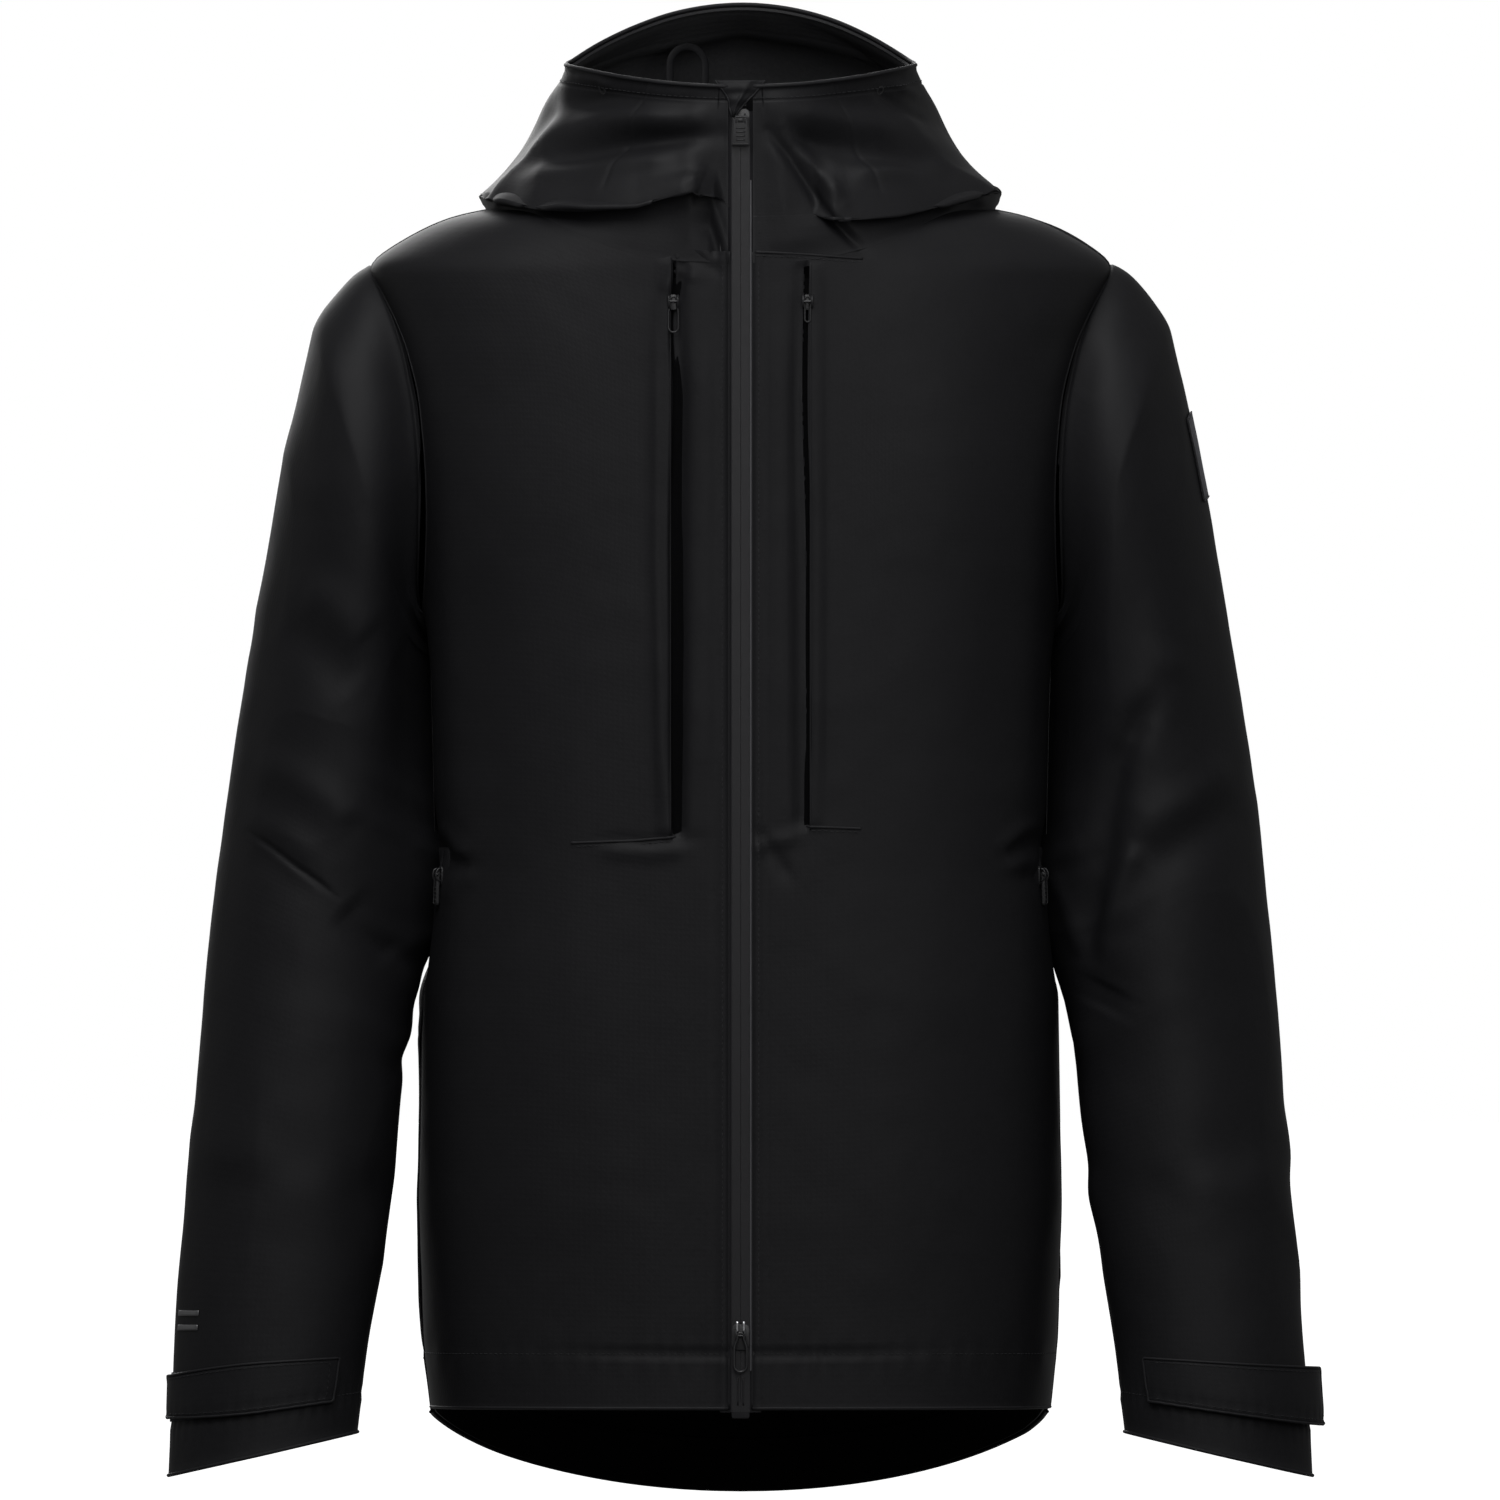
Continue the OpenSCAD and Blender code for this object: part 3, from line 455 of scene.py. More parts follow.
def block(name, outline, y0, y1, material, bevel=0.3, place=None):
    """A plate with rounded edges, cut to an outline in x and z, from y0 to y1, and put on the jacket."""
    outline = [tuple(p) for p in outline]
    n = len(outline)
    area = sum(a[0] * b[1] - b[0] * a[1] for a, b in zip(outline, outline[1:] + outline[:1]))
    if area < 0:
        outline.reverse()
    pts = np.array(outline, float)
    before, after = unit(pts - np.roll(pts, 1, 0)), unit(np.roll(pts, -1, 0) - pts)
    inward = unit(np.stack([-(before + after)[:, 1], (before + after)[:, 0]], 1))
    turns = [k / 3 * math.pi / 2 for k in range(4)]
    rings = [(y0 + bevel * (1 - math.sin(t)), bevel * (1 - math.cos(t))) for t in reversed(turns)]
    rings += [(y1 - bevel * (1 - math.sin(t)), bevel * (1 - math.cos(t))) for t in turns]
    verts = []
    for y, inset in rings:
        p = pts + inward * inset
        verts += [(x, y, z) for x, z in p]
    faces = [tuple(range(n)), tuple(reversed(range((len(rings) - 1) * n, len(rings) * n)))]
    for i in range(len(rings) - 1):
        for j in range(n):
            k = (j + 1) % n
            faces.append((i * n + j, (i + 1) * n + j, (i + 1) * n + k, i * n + k))
    verts = np.array(verts)
    if place is not None:
        verts = place(verts)
    return plain_mesh(name, verts, faces, material)


def joined(name, parts, body):
    """Several meshes as one piece that rides on a body."""
    piece = join(name, parts)
    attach(piece, body)
    return piece


def stands_in(piece):
    """The piece takes the place of the CAD node with the same name."""
    # Blender adds .001 to the name where the CAD node has it.
    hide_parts(piece.name.split(".")[0])


def rounded(w, z0, z1, r, steps=5, taper=0.0):
    """The outline of a rounded rectangle, w wide at the bottom, narrower by taper at the top."""
    pts = []
    for cx, cz, a0 in ((w / 2 - r, z0 + r, -90), (w / 2 - taper / 2 - r, z1 - r, 0),
                       (-w / 2 + taper / 2 + r, z1 - r, 90), (-w / 2 + r, z0 + r, 180)):
        for k in range(steps + 1):
            a = math.radians(a0 + 90 * k / steps)
            pts.append((cx + r * math.cos(a), cz + r * math.sin(a)))
    return pts


# ---- The jacket's shape ----
def spread(rows, step, reach, k):
    """A column of a table as evenly spaced values, with its corners rounded off over reach."""
    at = np.array([r[0] for r in rows], float)
    xs = np.arange(at[0] - 4 * reach, at[-1] + 4 * reach + step, step)
    vals = np.interp(xs, at, [r[k] for r in rows])
    low, high = rows[0], rows[-1]
    slope0 = (rows[1][k] - low[k]) / (rows[1][0] - low[0])
    slope1 = (high[k] - rows[-2][k]) / (high[0] - rows[-2][0])
    vals = np.where(xs < low[0], low[k] + slope0 * (xs - low[0]), vals)
    vals = np.where(xs > high[0], high[k] + slope1 * (xs - high[0]), vals)
    kern = np.exp(-0.5 * (np.arange(-3 * reach, 3 * reach + step / 2, step) / reach) ** 2)
    kern /= kern.sum()
    pad = len(kern) // 2
    ext = np.concatenate([vals[0] + slope0 * step * np.arange(-pad, 0), vals,
                          vals[-1] + slope1 * step * np.arange(1, pad + 1)])
    return xs, np.convolve(ext, kern, "valid")[: len(xs)]


BODY_ROWS = (
    (0, 175, 118, 2.9), (50, 180, 120, 2.9), (90, 184.5, 121, 2.9), (171, 187, 122, 2.9),
    (290, 184.5, 119, 2.9), (362, 181, 118, 2.9), (450, 183, 122, 3), (500, 184.5, 125, 3.2),
    (542, 186.5, 126, 3.4), (606, 192, 126, 3.4), (641, 196, 123, 3.2), (670, 202, 118, 2.9),
    (693, 209, 112, 2.6), (713, 216, 107, 2.3), (719, 212, 105, 2.2), (728, 198.7, 102, 2.1),
    (737, 182.4, 99.5, 2), (744, 165.3, 97, 1.9), (747, 150, 95, 1.9), (750, 130, 93, 1.9),
    (754, 98, 90, 1.9),
)
BODY_SPREAD = [spread(BODY_ROWS, 0.5, 2.5, k) for k in (1, 2, 3)]


def half_w(h):
    return np.interp(h, *BODY_SPREAD[0])


def back_y(h):
    return np.interp(h, *BODY_SPREAD[1])


def corner(h):
    return np.interp(h, *BODY_SPREAD[2])


HEM_H, ZIP_RISE, ZIP_RUN = 50, 26, 750


def front_y(h):
    return -138 + (h - HEM_H) * ZIP_RISE / ZIP_RUN


def mid_y(h):
    return (front_y(h) + back_y(h)) / 2


def half_d(h):
    return (back_y(h) - front_y(h)) / 2


def angle_at_x(x, h):
    return np.arccos(np.clip(np.abs(x) / half_w(h), 0, 1) ** (corner(h) / 2))


def angle_at_y(y, h):
    return np.arcsin(np.clip(np.abs(y - mid_y(h)) / half_d(h), 0, 1) ** (corner(h) / 2))


def body_x(y, h):
    n = corner(h)
    return half_w(h) * np.clip(1 - (np.abs(y - mid_y(h)) / half_d(h)) ** n, 0, 1) ** (1 / n)


def body_point(f, h, side, d=0.0):
    """A point on the body's front (side -1) or back (1), at an angle from the side, d inside."""
    p = 2 / corner(h)
    x = (half_w(h) - d) * np.clip(np.cos(f), 0, 1) ** p
    y = mid_y(h) + side * (half_d(h) - d) * np.clip(np.sin(f), 0, 1) ** p
    return np.stack(np.broadcast_arrays(x, y, h), -1)


ARM_LOW, ARM_TOP, ARM_MID, ARM_HALF, ARM_Y, ARM_DEEP = 500, 713, 606.5, 106.5, 5, 70


def edge_angle(h, side):
    inside = (h > ARM_LOW) & (h < ARM_TOP)
    reach = ARM_DEEP * np.sqrt(np.clip(1 - ((h - ARM_MID) / ARM_HALF) ** 2, 0, 1))
    y = np.where(inside, ARM_Y + side * reach, mid_y(h) + side * 0.05)
    y = mid_y(h) + side * np.maximum(0.05, side * (y - mid_y(h)))
    return angle_at_y(y, h)


def top_h(f, side):
    return 754 - 32 * np.sin(f) ** 6 if side < 0 else 754 + 0 * f


def tail_h(x):
    return HEM_H * (1 - np.clip(1 - (x / (half_w(HEM_H) + 1)) ** 2, 0, 1) ** 0.62)


LATTICE = np.random.RandomState(11).rand(40, 40, 40) * 2 - 1


def noise(p, scale, shift=0.0):
    """Smooth noise between about -1 and 1 at points p, with lumps of about the given size."""
    q = p / scale + 100 + shift
    i = np.floor(q).astype(int)
    f = q - i
    f = f * f * f * (f * (f * 6 - 15) + 10)
    total = 0
    for a in (0, 1):
        for b in (0, 1):
            for c in (0, 1):
                w = (f[..., 0] if a else 1 - f[..., 0]) * (f[..., 1] if b else 1 - f[..., 1])
                w = w * (f[..., 2] if c else 1 - f[..., 2])
                x, y, z = (i[..., k] + step for k, step in enumerate((a, b, c)))
                total = total + w * LATTICE[x % 40, y % 40, z % 40]
    return total * 1.6


# The folds seen from the front: how far each stands out, its half width, and its line in x and height.
TORSO_STROKES = (
    (2.2, 11, ((-20, 693), (-21, 577), (-22, 461), (-21, 392))),
    (-2.5, 4.5, ((-34, 693), (-35, 577), (-35, 461), (-37, 388))),
    (1.6, 4, ((-49, 693), (-49, 542), (-46, 426), (-43, 386))),
    (1.3, 10, ((22, 693), (23, 542), (25, 403))),
    (-1.2, 4, ((32, 693), (32, 542), (33, 392))),
    (1.2, 5, ((45, 705), (45, 542), (44, 394))),
    (-3.6, 2.8, ((-25, 754), (-21, 742), (-17, 728), (-14, 716))),
    (2.0, 3.0, ((-17, 752), (-12, 736), (-7.5, 718))),
    (-3.0, 2.4, ((44, 750), (52, 740), (62, 731), (73, 721))),
    (1.5, 3, ((-36, 721), (-45, 698))),
    (-1.5, 3, ((-30, 715), (-39, 692))),
    (-1.2, 2.5, ((-34, 722), (-21, 715), (-12, 709))),
    (1, 3, ((-30, 729), (-17, 721), (-9, 715))),
    (1, 3, ((-38, 712), (-24, 706))),
    (-1.6, 4, ((8, 387), (17, 375), (29, 357))),
    (1.4, 4, ((6, 374), (16, 379), (34, 382))),
    (1.5, 5, ((-30, 375), (-53, 373), (-82, 375))),
    (-1.2, 3, ((-24, 381), (-53, 379), (-85, 380))),
    (-3, 5, ((-180, 381), (-169, 367), (-155, 364))),
    (2.5, 5, ((-177, 390), (-166, 375), (-155, 373))),
    (2, 6, ((-175, 345), (-165, 357), (-152, 361))),
    (-3, 5, ((180, 382), (167, 379), (153, 371))),
    (2.5, 5, ((176, 390), (164, 385), (150, 374))),
    (2.2, 5, ((177, 366), (165, 368), (152, 364))),
    (-2, 4, ((176, 357), (164, 361))),
    (1.2, 14, ((225, 705), (196, 693), (161, 676))),
    (2, 40, ((-106, 658), (-114, 589))),
    (2, 40, ((109, 676), (112, 589))),
    (1.6, 45, ((-106, 287), (-111, 183))),
    (1.6, 45, ((109, 287), (109, 183))),
    (-1.5, 16, ((-158, 542), (-152, 461), (-154, 403))),
    (-1.5, 16, ((155, 542), (152, 461), (153, 403))),
)
HOOD_STROKES = (
    (5.0, 8, ((-140, 769), (-130, 779), (-112, 790), (-80, 799), (-30, 800))),
    (-5.5, 6, ((-136, 770), (-104, 779), (-66, 785), (-26, 789), (-12, 790))),
    (4.0, 7, ((-124, 768), (-100, 770), (-59, 773), (-34, 775))),
    (-2.6, 5, ((-110, 806), (-71, 811), (-36, 809), (-10, 811))),
    (-4.0, 3.4, ((-27, 760), (-22, 748), (-15, 728), (-9, 705))),
    (2.0, 3.2, ((-20, 762), (-15, 748), (-9, 728), (-6, 708))),
    (4.0, 8, ((19, 806), (51, 800), (92, 793), (126, 778))),
    (-5.0, 7, ((22, 790), (44, 784), (78, 779), (122, 770))),
    (3.4, 7, ((60, 766), (96, 769), (124, 772))),
    (-3.2, 3.2, ((16, 792), (28, 777), (38, 762), (50, 744), (72, 722))),
    (2.4, 4, ((24, 795), (38, 778), (50, 763), (60, 750))),
    (-2.4, 3, ((74, 818), (95, 803), (112, 798))),
    (2.0, 3, ((86, 821), (106, 812))),
    (2.2, 3, ((-97, 824), (-82, 822), (-75, 817))),
    (-3, 5, ((-106, 809), (-117, 792), (-129, 771))),
    (2.2, 6, ((115, 809), (129, 784), (138, 772))),
)
SLEEVE_STROKES = (
    (-1.7, 1.8, ((-286, 385), (-272, 375), (-259, 365), (-246, 356), (-235, 347))),
    (-0.8, 9, ((-286, 374), (-272, 364), (-259, 354), (-246, 345))),
    (1.2, 8, ((-293, 394), (-274, 388), (-256, 376), (-245, 366))),
    (2.5, 12, ((-285, 426), (-262, 418), (-239, 403), (-222, 386))),
    (2.5, 14, ((-256, 525), (-239, 519), (-215, 496))),
    (-2.5, 14, ((-268, 507), (-245, 490), (-222, 467))),
    (-3, 12, ((-230, 345), (-213, 328), (-198, 310))),
    (-13, 18, ((-213, 703), (-199, 673), (-190, 641), (-185, 590), (-183, 520), (-183, 430), (-185, 385))),
    (2, 20, ((-239, 676), (-251, 624), (-256, 566))),
    (1.5, 22, ((-262, 310), (-274, 229), (-282, 142))),
    (-11, 17, ((213, 703), (199, 673), (190, 641), (185, 590), (183, 520), (183, 430), (185, 386))),
    (4, 7, ((231, 382), (222, 357), (212, 328), (206, 307))),
    (-6, 9, ((246, 470), (231, 450), (219, 424), (214, 400), (212, 382), (206, 352), (203, 325), (203, 300))),
    (2.5, 5, ((176, 367), (187, 345), (198, 309))),
    (2.5, 12, ((289, 426), (260, 403), (225, 386))),
    (-2.5, 12, ((292, 403), (260, 380), (237, 362))),
    (2, 16, ((254, 496), (237, 461), (219, 426))),
    (1.5, 22, ((248, 310), (257, 241), (266, 160))),
    (-3, 14, ((215, 296), (208, 281))),
)


def stroke_shift(p, facing, strokes):
    """How far each point moves out for the folds."""
    total = np.zeros(p.shape[:-1])
    for amp, width, line in strokes:
        line = np.array(line, float)
        seg = np.diff(line, axis=0)
        lens = np.linalg.norm(seg, axis=1)
        run = run_along(line)
        best = np.full(p.shape[:-1], 1e9)
        where = np.zeros(p.shape[:-1])
        for k in range(len(seg)):
            dx, dh = p[..., 0] - line[k, 0], p[..., 2] - line[k, 1]
            t = np.clip((dx * seg[k, 0] + dh * seg[k, 1]) / lens[k] ** 2, 0, 1)
            d = np.hypot(dx - t * seg[k, 0], dh - t * seg[k, 1])
            near = d < best
            best = np.where(near, d, best)
            where = np.where(near, (run[k] + t * lens[k]) / run[-1], where)
        # A narrow fold fades at its ends.
        ends = 0.25 + 0.75 * smooth(np.minimum(where, 1 - where) * 5) if width < 30 else 1.0
        total += amp * np.exp(-((best / width) ** 2)) * ends
    return total * facing


def rumple(p, big=1.2, mid=0.5, small=0.12, seed=0.0):
    """Loose cloth: long soft waves, with shorter ones on top, drawn out down the jacket."""
    q = p * np.array((1.0, 1.0, 0.55))
    bend = np.stack([noise(q, 70, shift + seed) for shift in (3.3, 7.7, 5.1)], -1) * 14
    ridge = 1 - 2 * np.abs(noise(q + bend, 62, 9.2 + seed))
    return big * noise(q + bend, 95, seed) + mid * ridge + small * noise(p, 17, 1.7 + seed)


def settle(g, strokes, closed=False, extra=None, big=1.2, mid=0.5, small=0.12, seed=0.0, keep=None):
    """Moves a grid along its normals by the folds, the loose waves and anything extra."""
    nrm = grid_normals(g, closed)
    facing = np.clip(-nrm[..., 1], 0, 1) ** 0.7
    shift = rumple(g, big, mid, small, seed)
    if keep is not None:
        shift = shift * keep
    shift = shift + stroke_shift(g, facing, strokes)
    if extra is not None:
        shift = shift + extra
    return g + nrm * shift[..., None]


def level(g, h):
    """The line where a grid crosses a height, one point for each column."""
    out = []
    for j in range(g.shape[1]):
        col = g[:, j]
        order = np.argsort(col[:, 2])
        out.append([np.interp(h, col[order, 2], col[order, k]) for k in (0, 1)] + [h])
    return np.array(out)


def upright(g, x, rows=slice(None)):
    """The line at a distance x from the middle, one point for each row."""
    out = []
    for line in g[rows]:
        order = np.argsort(line[:, 0])
        out.append([np.interp(x, line[order, 0], line[order, k]) for k in range(3)])
    return np.array(out)


# ---- Front panels ----
SLOT, NEAR_END = 7.2, 60
NEAR_X = np.array((
    SLOT, 7.7, 8.6, 10, 12, 14.5, 17, 19.5, 22, 24.5, 27, 29, 31, 32.5, 34, 35.2, 36.2, 37, 37.6, 38.1, 38.6,
    39.1, 39.6, 40.1, 40.7, 41.4, 42.2, 43.2, 44.4, 45.8, 47.4, 48.6, 49.4, 50.2, 51.4, 53.5, 56.5, NEAR_END))
FAR = np.linspace(0, 1, 66)[1:]


def column_angle(k, h):
    """The angle of column k of a front panel at height h."""
    if k < len(NEAR_X):
        return angle_at_x(NEAR_X[k], h)
    f0, f1 = angle_at_x(NEAR_END, h), edge_angle(h, -1)
    share = np.linspace(0, 1, 60)[:, None]
    p = body_point(f0 + (f1 - f0) * share, np.broadcast_to(h, (60, np.size(h))), -1)
    run = run_along(p)
    want = FAR[k - len(NEAR_X)] * run[-1]
    got = np.array([np.interp(want[i], run[:, i], share[:, 0]) for i in range(p.shape[1])])
    return f0 + (f1 - f0) * got


def front_grid():
    rows = 1 - (1 - np.linspace(0, 1, 236)) ** 1.12
    cols = []
    for k in range(len(NEAR_X) + len(FAR)):
        top = np.array([750.0])
        for _ in range(40):
            top = 0.6 * top + 0.4 * top_h(column_angle(k, top), -1)
        h = HEM_H + rows * (top[0] - HEM_H)
        cols.append(body_point(column_angle(k, h), h, -1))
    return np.stack(cols, 1)


def window(h, low, high, soft):
    return smooth((h - low) / soft) * smooth((high - h) / soft)


def side_dent(g):
    """The hollow in the body's side where the sleeve presses on it, deepest at the elbow."""
    y, h = g[..., 1], g[..., 2]
    side = smooth((np.abs(g[..., 0]) - 150) / 20)
    long = 15 * window(h, 288, 520, 50) * np.exp(-(((y - 5) / 31) ** 2))
    elbow = (13 * np.exp(-(((y - 4) / 36) ** 2)) + 1.5) * np.exp(-(((h - 372) / 20) ** 2))
    return -(long + elbow) * side


def hem_pucker(x, off):
    """The hem's small gathers, strongest at its stitching."""
    return 0.35 * np.sin(x / 2.1 + 0.7 * np.sin(x / 7)) * np.exp(-((off / 9) ** 2))


def front_details(g, slit_low, slit_high, slit_x, lip):
    """The pocket slit with its raised lip, the pocket's outline, the hem and the zip's edge."""
    x, h = np.abs(g[..., 0]), g[..., 2]
    inside = window(h, slit_low, slit_high, 5)
    groove = -1.6 * np.exp(-(((x - slit_x) / 1.3) ** 4)) * inside
    welt = 0.9 * lip * smooth((x - slit_x - 0.5) / 0.8) * smooth((slit_x + 13 - x) / 11) * inside
    inner = -lip * 2.0 * smooth((slit_x + 0.4 - x) / 0.8) * smooth((x - slit_x + 11) / 9) * inside
    inner *= 0.7 + 0.5 * smooth((590 - h) / 60)
    hem = -1.8 * np.exp(-(((h - 82) / 0.8) ** 2)) + 0.3 * smooth((83 - h) / 2)
    pucker = hem_pucker(x, h - 80) * smooth((x - 12) / 6)
    roll = 0.7 * np.exp(-(((x - 10.2) / 2.2) ** 2)) - 0.3 * np.exp(-(((x - 14.5) / 1.3) ** 2))
    edge = -0.7 * smooth((8.2 - x) / 1.2)
    return groove + welt + inner + hem + pucker + (roll + edge) * smooth((730 - h) / 15) + side_dent(g)


base = front_grid()
mirror_x = np.array((-1.0, 1.0, 1.0))
calm = smooth((base[..., 0] - SLOT) / 16) * (0.35 + 0.65 * smooth((base[..., 2] - 50) / 40))
quiet = smooth((735 - base[..., 2]) / 25)
LEFT_SLIT, RIGHT_SLIT = 38.6, 39.6
left_grid = settle(base, TORSO_STROKES, extra=front_details(base, 386, 717, LEFT_SLIT, 0.9), big=0.35,
                   mid=0.2, seed=0.0, keep=calm * quiet)
right_base = (base * mirror_x)[:, ::-1]
right_grid = settle(right_base, TORSO_STROKES, extra=front_details(right_base, 381, 720, RIGHT_SLIT, 1.6),
                    big=0.35, mid=0.2, seed=4.0, keep=(calm * quiet)[:, ::-1])
PANEL_T = 1.1


def sway(g, slit_x, amp, shift):
    """Lets the pocket slit wander a little, as cloth does."""
    x, h = g[..., 0], g[..., 2]
    near = np.exp(-(((np.abs(x) - slit_x) / 8) ** 2)) * window(h, 370, 730, 60)
    out = g.copy()
    out[..., 0] = x + near * (amp * np.sin((h - shift) / 62) + 0.3 * amp * np.sin(h / 21))
    if amp < 0:
        out[..., 0] += near * (5.5 * smooth((h - 692) / 26) - 1.5 * smooth((h - 640) / 40))
    return out


left_grid = sway(left_grid, LEFT_SLIT, 1.2, 390)
right_grid = sway(right_grid, RIGHT_SLIT, -0.9, 420)


def slit_mask(base, slit_x, low, high, half=0.75):
    """The cells of a panel's grid that stay closed: all but the pocket slit."""
    x = np.abs(base[..., 0])
    mx = (x[:-1, :-1] + x[1:, 1:]) / 2
    mh = (base[:-1, :-1, 2] + base[1:, 1:, 2]) / 2
    return ~((np.abs(mx - slit_x) < half) & (mh > low) & (mh < high))


front_left = cloth_grid("front_panel_left", left_grid, PANEL_T, "jacket_body",
                        mask=slit_mask(base, LEFT_SLIT, 390, 714, 1.3))
front_right = cloth_grid("front_panel_right", right_grid, PANEL_T, "jacket_body",
                         mask=slit_mask(right_base, RIGHT_SLIT, 385, 716))
stands_in(front_left)
stands_in(front_right)

# ---- Back panel ----
def back_grid():
    rows = 1 - (1 - np.linspace(0, 1, 216)) ** 1.1
    cols = []
    for share in np.linspace(0, 1, 61):
        low = tail_h(half_w(HEM_H) * np.cos(np.pi / 2 * share) ** (2 / corner(HEM_H)))
        h = low + rows * (754 - low)
        f0 = edge_angle(h, 1)
        cols.append(body_point(f0 + (np.pi / 2 - f0) * share, h, 1))
    half = np.stack(cols, 1)
    return np.concatenate([half, (half * mirror_x)[:, -2::-1]], 1)


def yoke_h(x):
    """The height of the seam across the upper back."""
    return 640 + 18 * (1 - (x / 190) ** 2)


def back_details(g):
    x, h = g[..., 0], g[..., 2]
    up = h - tail_h(np.abs(x))
    hem = -0.8 * np.exp(-(((up - 31.5) / 1.5) ** 2)) + 0.5 * smooth((34 - up) / 3)
    pucker = hem_pucker(x, up - 30)
    off = h - yoke_h(x)
    seam = -0.9 * np.exp(-((off / 1.4) ** 2)) + 0.5 * np.exp(-(((off + 5) / 4) ** 2))
    drape = 3.0 * np.sin(x / 46 + 0.5) * smooth((560 - h) / 300) * np.exp(-((x / 150) ** 4))
    hollow = -4 * np.exp(-(((h - 430) / 120) ** 2)) * np.exp(-((x / 60) ** 2))
    return hem + pucker + seam + drape + hollow + side_dent(g)


back_base = back_grid()
back_keep = 0.5 + 0.5 * smooth((back_base[..., 2] - 60) / 60)
back_surface = settle(back_base, (), extra=back_details(back_base), big=1.9, mid=1.0, seed=8.0,
                      keep=back_keep * smooth((750 - back_base[..., 2]) / 25))
back_piece = cloth_grid("back_panel", back_surface, PANEL_T, "jacket_body")
stands_in(back_piece)

# ---- Edges, seams and stitching of the body ----
def thin(path, step):
    """The same line with evenly spaced points."""
    run = run_along(path)
    n = max(3, int(run[-1] / step))
    return np.array([np.interp(np.linspace(0, run[-1], n), run, path[:, k]) for k in range(3)]).T


def outward(path):
    """Directions straight out of the body along a level line."""
    d = np.asarray(path, float) - (0, -8, 0)
    d[:, 2] = 0
    d[:, 0] *= 0.45
    return unit(d)


def column_line(grid, at):
    """One point from each column of a grid, at the height that at gives for the column."""
    out = []
    for col in np.swapaxes(grid, 0, 1):
        out.append([np.interp(at(col), col[:, 2], col[:, k]) for k in range(3)])
    return np.array(out)


trims = []
for grid in (left_grid, right_grid, back_surface):
    trims.append(tube("hem_edge", thin(grid[0] + (0, 0, 0.18), 4), 0.95, shell))
trims.append(tube("zip_edge_left", thin(left_grid[:, 0] + (-0.5, 0.6, 0), 4), 0.75, shell))
trims.append(tube("zip_edge_right", thin(right_grid[:, -1] + (0.5, 0.6, 0), 4), 0.75, shell))
for line in (left_grid[:, -1], right_grid[:, 0]):
    trims.append(tube("side_edge", thin(line + (0, 0.4, 0), 4), 0.6, shell))
joined("body_edges", trims, "jacket_body")

sewn = []
for grid, edge_x in ((left_grid, 10.6), (right_grid, -10.6)):
    line = level(grid, 81.6)
    line = thin(line[np.abs(line[:, 0]) > 8.6], 3)
    sewn.append(stitches("hem_stitch", line, outward(line)))
    line = upright(grid, edge_x)
    line = line[(line[:, 2] > 84) & (line[:, 2] < 716)]
    sewn.append(stitches("zip_stitch", thin(line, 4), (0, -1, 0), radius=0.2))
tail = thin(column_line(back_surface, lambda col: col[0, 2] + 31.6), 3)
sewn.append(stitches("hem_stitch_back", tail, outward(tail)))
yoke_line = thin(column_line(back_surface[:, 4:-4], lambda col: yoke_h(col[120, 0]) + 3.4), 3)
sewn.append(stitches("yoke_stitch", yoke_line, outward(yoke_line)))
joined("body_stitching", sewn, "jacket_body")

# Pocket and yoke seams on the front, as narrow raised tucks.
def laid_line(points, grid, lift, count=40):
    """A line given in x and height, laid on a front panel."""
    pts = np.array(points, float)
    run = run_along(pts)
    at = np.linspace(0, run[-1], count)
    xs, hs = np.interp(at, run, pts[:, 0]), np.interp(at, run, pts[:, 1])
    flat_pts = grid.reshape(-1, 3)
    out = []
    for x, h in zip(xs, hs):
        d = (flat_pts[:, 0] - x) ** 2 + (flat_pts[:, 2] - h) ** 2
        near = np.argsort(d)[:6]
        w = 1 / (d[near] + 0.3)
        out.append((x, (flat_pts[near, 1] * w).sum() / w.sum() - lift, h))
    return np.array(out)


tucks = []
for pts, grid in (
    (((8.5, 721.8), (30, 721), (50, 719.5), (71, 718)), left_grid),
    (((38, 388), (54, 387.4), (70, 386.8)), left_grid),
    (((-37.5, 382), (-62, 379.8), (-98.5, 378.5)), right_grid),
):
    line = laid_line(pts, grid, 0.25)
    tucks.append(tube("tuck", line, 0.8, shell, flat=0.6))
    tucks.append(stitches("tuck_stitch", line + (0, -0.15, -2.2), (0, -1, 0), radius=0.22))
joined("pocket_and_yoke_seams", tucks, "jacket_body")


# Facings inside the hem, and the tapes over the side seams.
FACING_HIGH, FACING_IN = 30, 1.9
# The back facing's inside, seen below the front hem, takes the near-black lining: partly painted shade for the
# unlit inside of the back hem.
for name, grid, mats in (("left", left_grid[:, 3:], [shell, shell]),
                         ("right", right_grid[:, :-3], [shell, shell]),
                         ("back", back_surface, [shell, lining_and_painted_shade])):
    lines = np.array([column_line(grid, lambda col, up=up: col[0, 2] + up)
                      for up in np.linspace(1.2, FACING_HIGH, 7)])
    stands_in(cloth_grid("hem_facing_" + name, lines - grid_normals(lines) * FACING_IN, 0.8, "jacket_body",
                         mats))

SIDES = (("left", 1), ("right", -1))
for name, sign in SIDES:
    hs = np.linspace(86, 494, 60)
    strip = []
    for h in hs:
        ys = mid_y(h) + np.linspace(-10, 10, 9)
        xs = body_x(ys, h) - 3.2
        line = np.stack([xs, ys, np.full(9, h)], 1)
        strip.append(line if sign > 0 else (line * mirror_x)[::-1])
    stands_in(cloth_grid("side_seam_tape_" + name, np.array(strip), 0.3, "jacket_body", [film, film]))


# ---- Zips ----
LEAN = math.atan(ZIP_RISE / ZIP_RUN)


